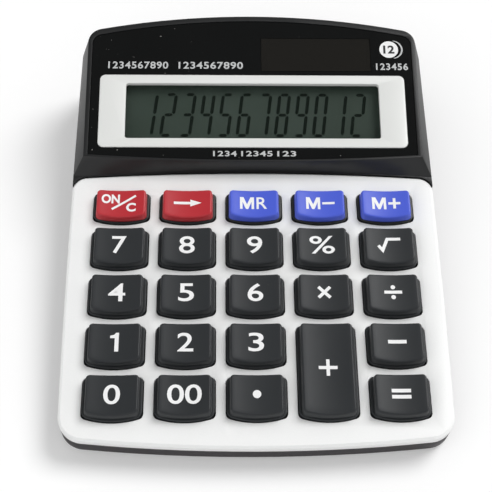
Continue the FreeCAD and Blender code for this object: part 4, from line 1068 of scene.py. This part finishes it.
def make_feet():
    low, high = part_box("rubber_feet")
    span = (high - low) / MM
    rubber = FINISH["foot_rubber"]
    bm = from_tree(ribbed_feet_tree(), Across=span.x - FOOT, Along=span.y - FOOT, Radius=FOOT / 2,
                   Thickness=span.z, Rib=FOOT_RIB, Finish=rubber)
    centre = (low + high) / 2
    place = seat(Vector((centre.x, centre.y, low.z)), 0.0)
    piece("ribbed_feet", finished(bm, place), rubber, "case", ("rubber_feet",))


def make_fingers():
    low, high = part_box("solar_cell")
    width = (high.x - low.x) / MM
    along = (high.y - low.y) / MM / math.cos(FACE_TILT)
    pitch = width / FINGERS
    bright = FINISH["contact"]
    bm = from_tree(finger_tree(), Count=FINGERS, Pitch=pitch, Length=FINGER_REACH * along,
                   Radius=FINGER_RADIUS, Finish=bright)
    top = middle("solar_cell") + (middle("solar_window") - middle("solar_cell")) * FINGER_LEVEL
    piece("collector_fingers", finished(bm, seat(top, FACE_TILT)), bright, "case")


def finish_frame_nodes():
    """The pieces whose CAD shape is right get their finish."""
    for name, node in frame["nodes"].items():
        if not node.hide_render:
            node.data.materials.clear()
            node.data.materials.append(FINISH[SLOT_OF[name]])


# ---- Floor, light and camera ----
FLOOR_SIZE = 8.0
FLOOR_COLOUR = 0.82
FLOOR_GLOW = 0.2
KEY_DIRECTION = Vector((0.52, 0.38, 0.76))
KEY_STRENGTH = 1.8
KEY_SPREAD = math.radians(30.0)
FILL_DIRECTION = Vector((-0.5, -0.45, 0.75))
FILL_STRENGTH = 0.45
FILL_SPREAD = math.radians(60.0)
SKY_LOW, SKY_LOW_TO = 1.0, 0.15     # strength near the horizon, and the height up to which it holds
SKY_HIGH, SKY_HIGH_FROM = 0.22, 0.9
CAMERA_PLACE = Vector((-0.0113, -0.2082, 0.3185))
CAMERA_LENS = 80.49
CAMERA_CLIP = 0.01
CAMERA_DOWN = math.radians(28.28)
CAMERA_ROLL = math.radians(-1.216)
CAMERA_SWING = math.radians(-0.611)


def make_floor():
    mesh = bpy.data.meshes.new("floor")
    half = FLOOR_SIZE / 2
    mesh.from_pydata([(-half, -half, 0), (half, -half, 0), (half, half, 0), (-half, half, 0)], [],
                     [(0, 1, 2, 3)])
    floor = new_object("floor", mesh)
    made, tree, shader = material("floor_paper", Roughness=0.9, Specular_IOR_Level=0.1,
                                  Base_Color=(FLOOR_COLOUR,) * 3 + (1.0,),
                                  Emission_Color=(1.0, 1.0, 1.0, 1.0))
    rays = tree.nodes.new("ShaderNodeLightPath")
    seen = math_node(tree, "MAXIMUM", rays.outputs["Is Camera Ray"],
                     rays.outputs["Is Transmission Ray"])
    glow = math_node(tree, "MULTIPLY", seen, FLOOR_GLOW)
    tree.links.new(glow, shader.inputs["Emission Strength"])
    mesh.materials.append(made)


def make_sun(name, direction, strength, spread_angle):
    lamp = bpy.data.lights.new(name, "SUN")
    lamp.energy = strength
    lamp.angle = spread_angle
    made = new_object(name, lamp)
    made.rotation_euler = direction.to_track_quat("Z", "Y").to_euler()


def make_sky():
    """A pale surround, white at the horizon and dimmer overhead."""
    world = bpy.data.worlds.new("studio")
    world.use_nodes = True
    bpy.context.scene.world = world
    tree = world.node_tree
    background = tree.nodes["Background"]
    axes = tree.nodes.new("ShaderNodeSeparateXYZ")
    tree.links.new(tree.nodes.new("ShaderNodeTexCoord").outputs["Generated"], axes.inputs[0])
    strength = spread(tree, axes.outputs["Z"], SKY_LOW_TO, SKY_HIGH_FROM, SKY_LOW, SKY_HIGH)
    tree.links.new(strength, background.inputs["Strength"])
    background.inputs["Color"].default_value = (1.0, 1.0, 1.0, 1.0)


def make_camera():
    data = bpy.data.cameras.new("camera")
    data.lens = CAMERA_LENS
    data.clip_start = CAMERA_CLIP
    camera = new_object("camera", data)
    turn = (Matrix.Rotation(DECK_TILT, 4, "X") @ Matrix.Rotation(CAMERA_SWING, 4, "Z")
            @ Matrix.Rotation(CAMERA_ROLL, 4, "Y") @ Matrix.Rotation(CAMERA_DOWN, 4, "X"))
    camera.matrix_world = Matrix.Translation(CAMERA_PLACE) @ turn
    bpy.context.scene.camera = camera


make_shells()
make_keys()
make_feet()
make_fingers()
face_prints()
display_digits()
finish_frame_nodes()
make_floor()
make_sun("key_light", KEY_DIRECTION, KEY_STRENGTH, KEY_SPREAD)
make_sun("fill_light", FILL_DIRECTION, FILL_STRENGTH, FILL_SPREAD)
make_sky()
make_camera()
bpy.context.scene.view_settings.view_transform = "Standard"

bpy.context.view_layer.update()
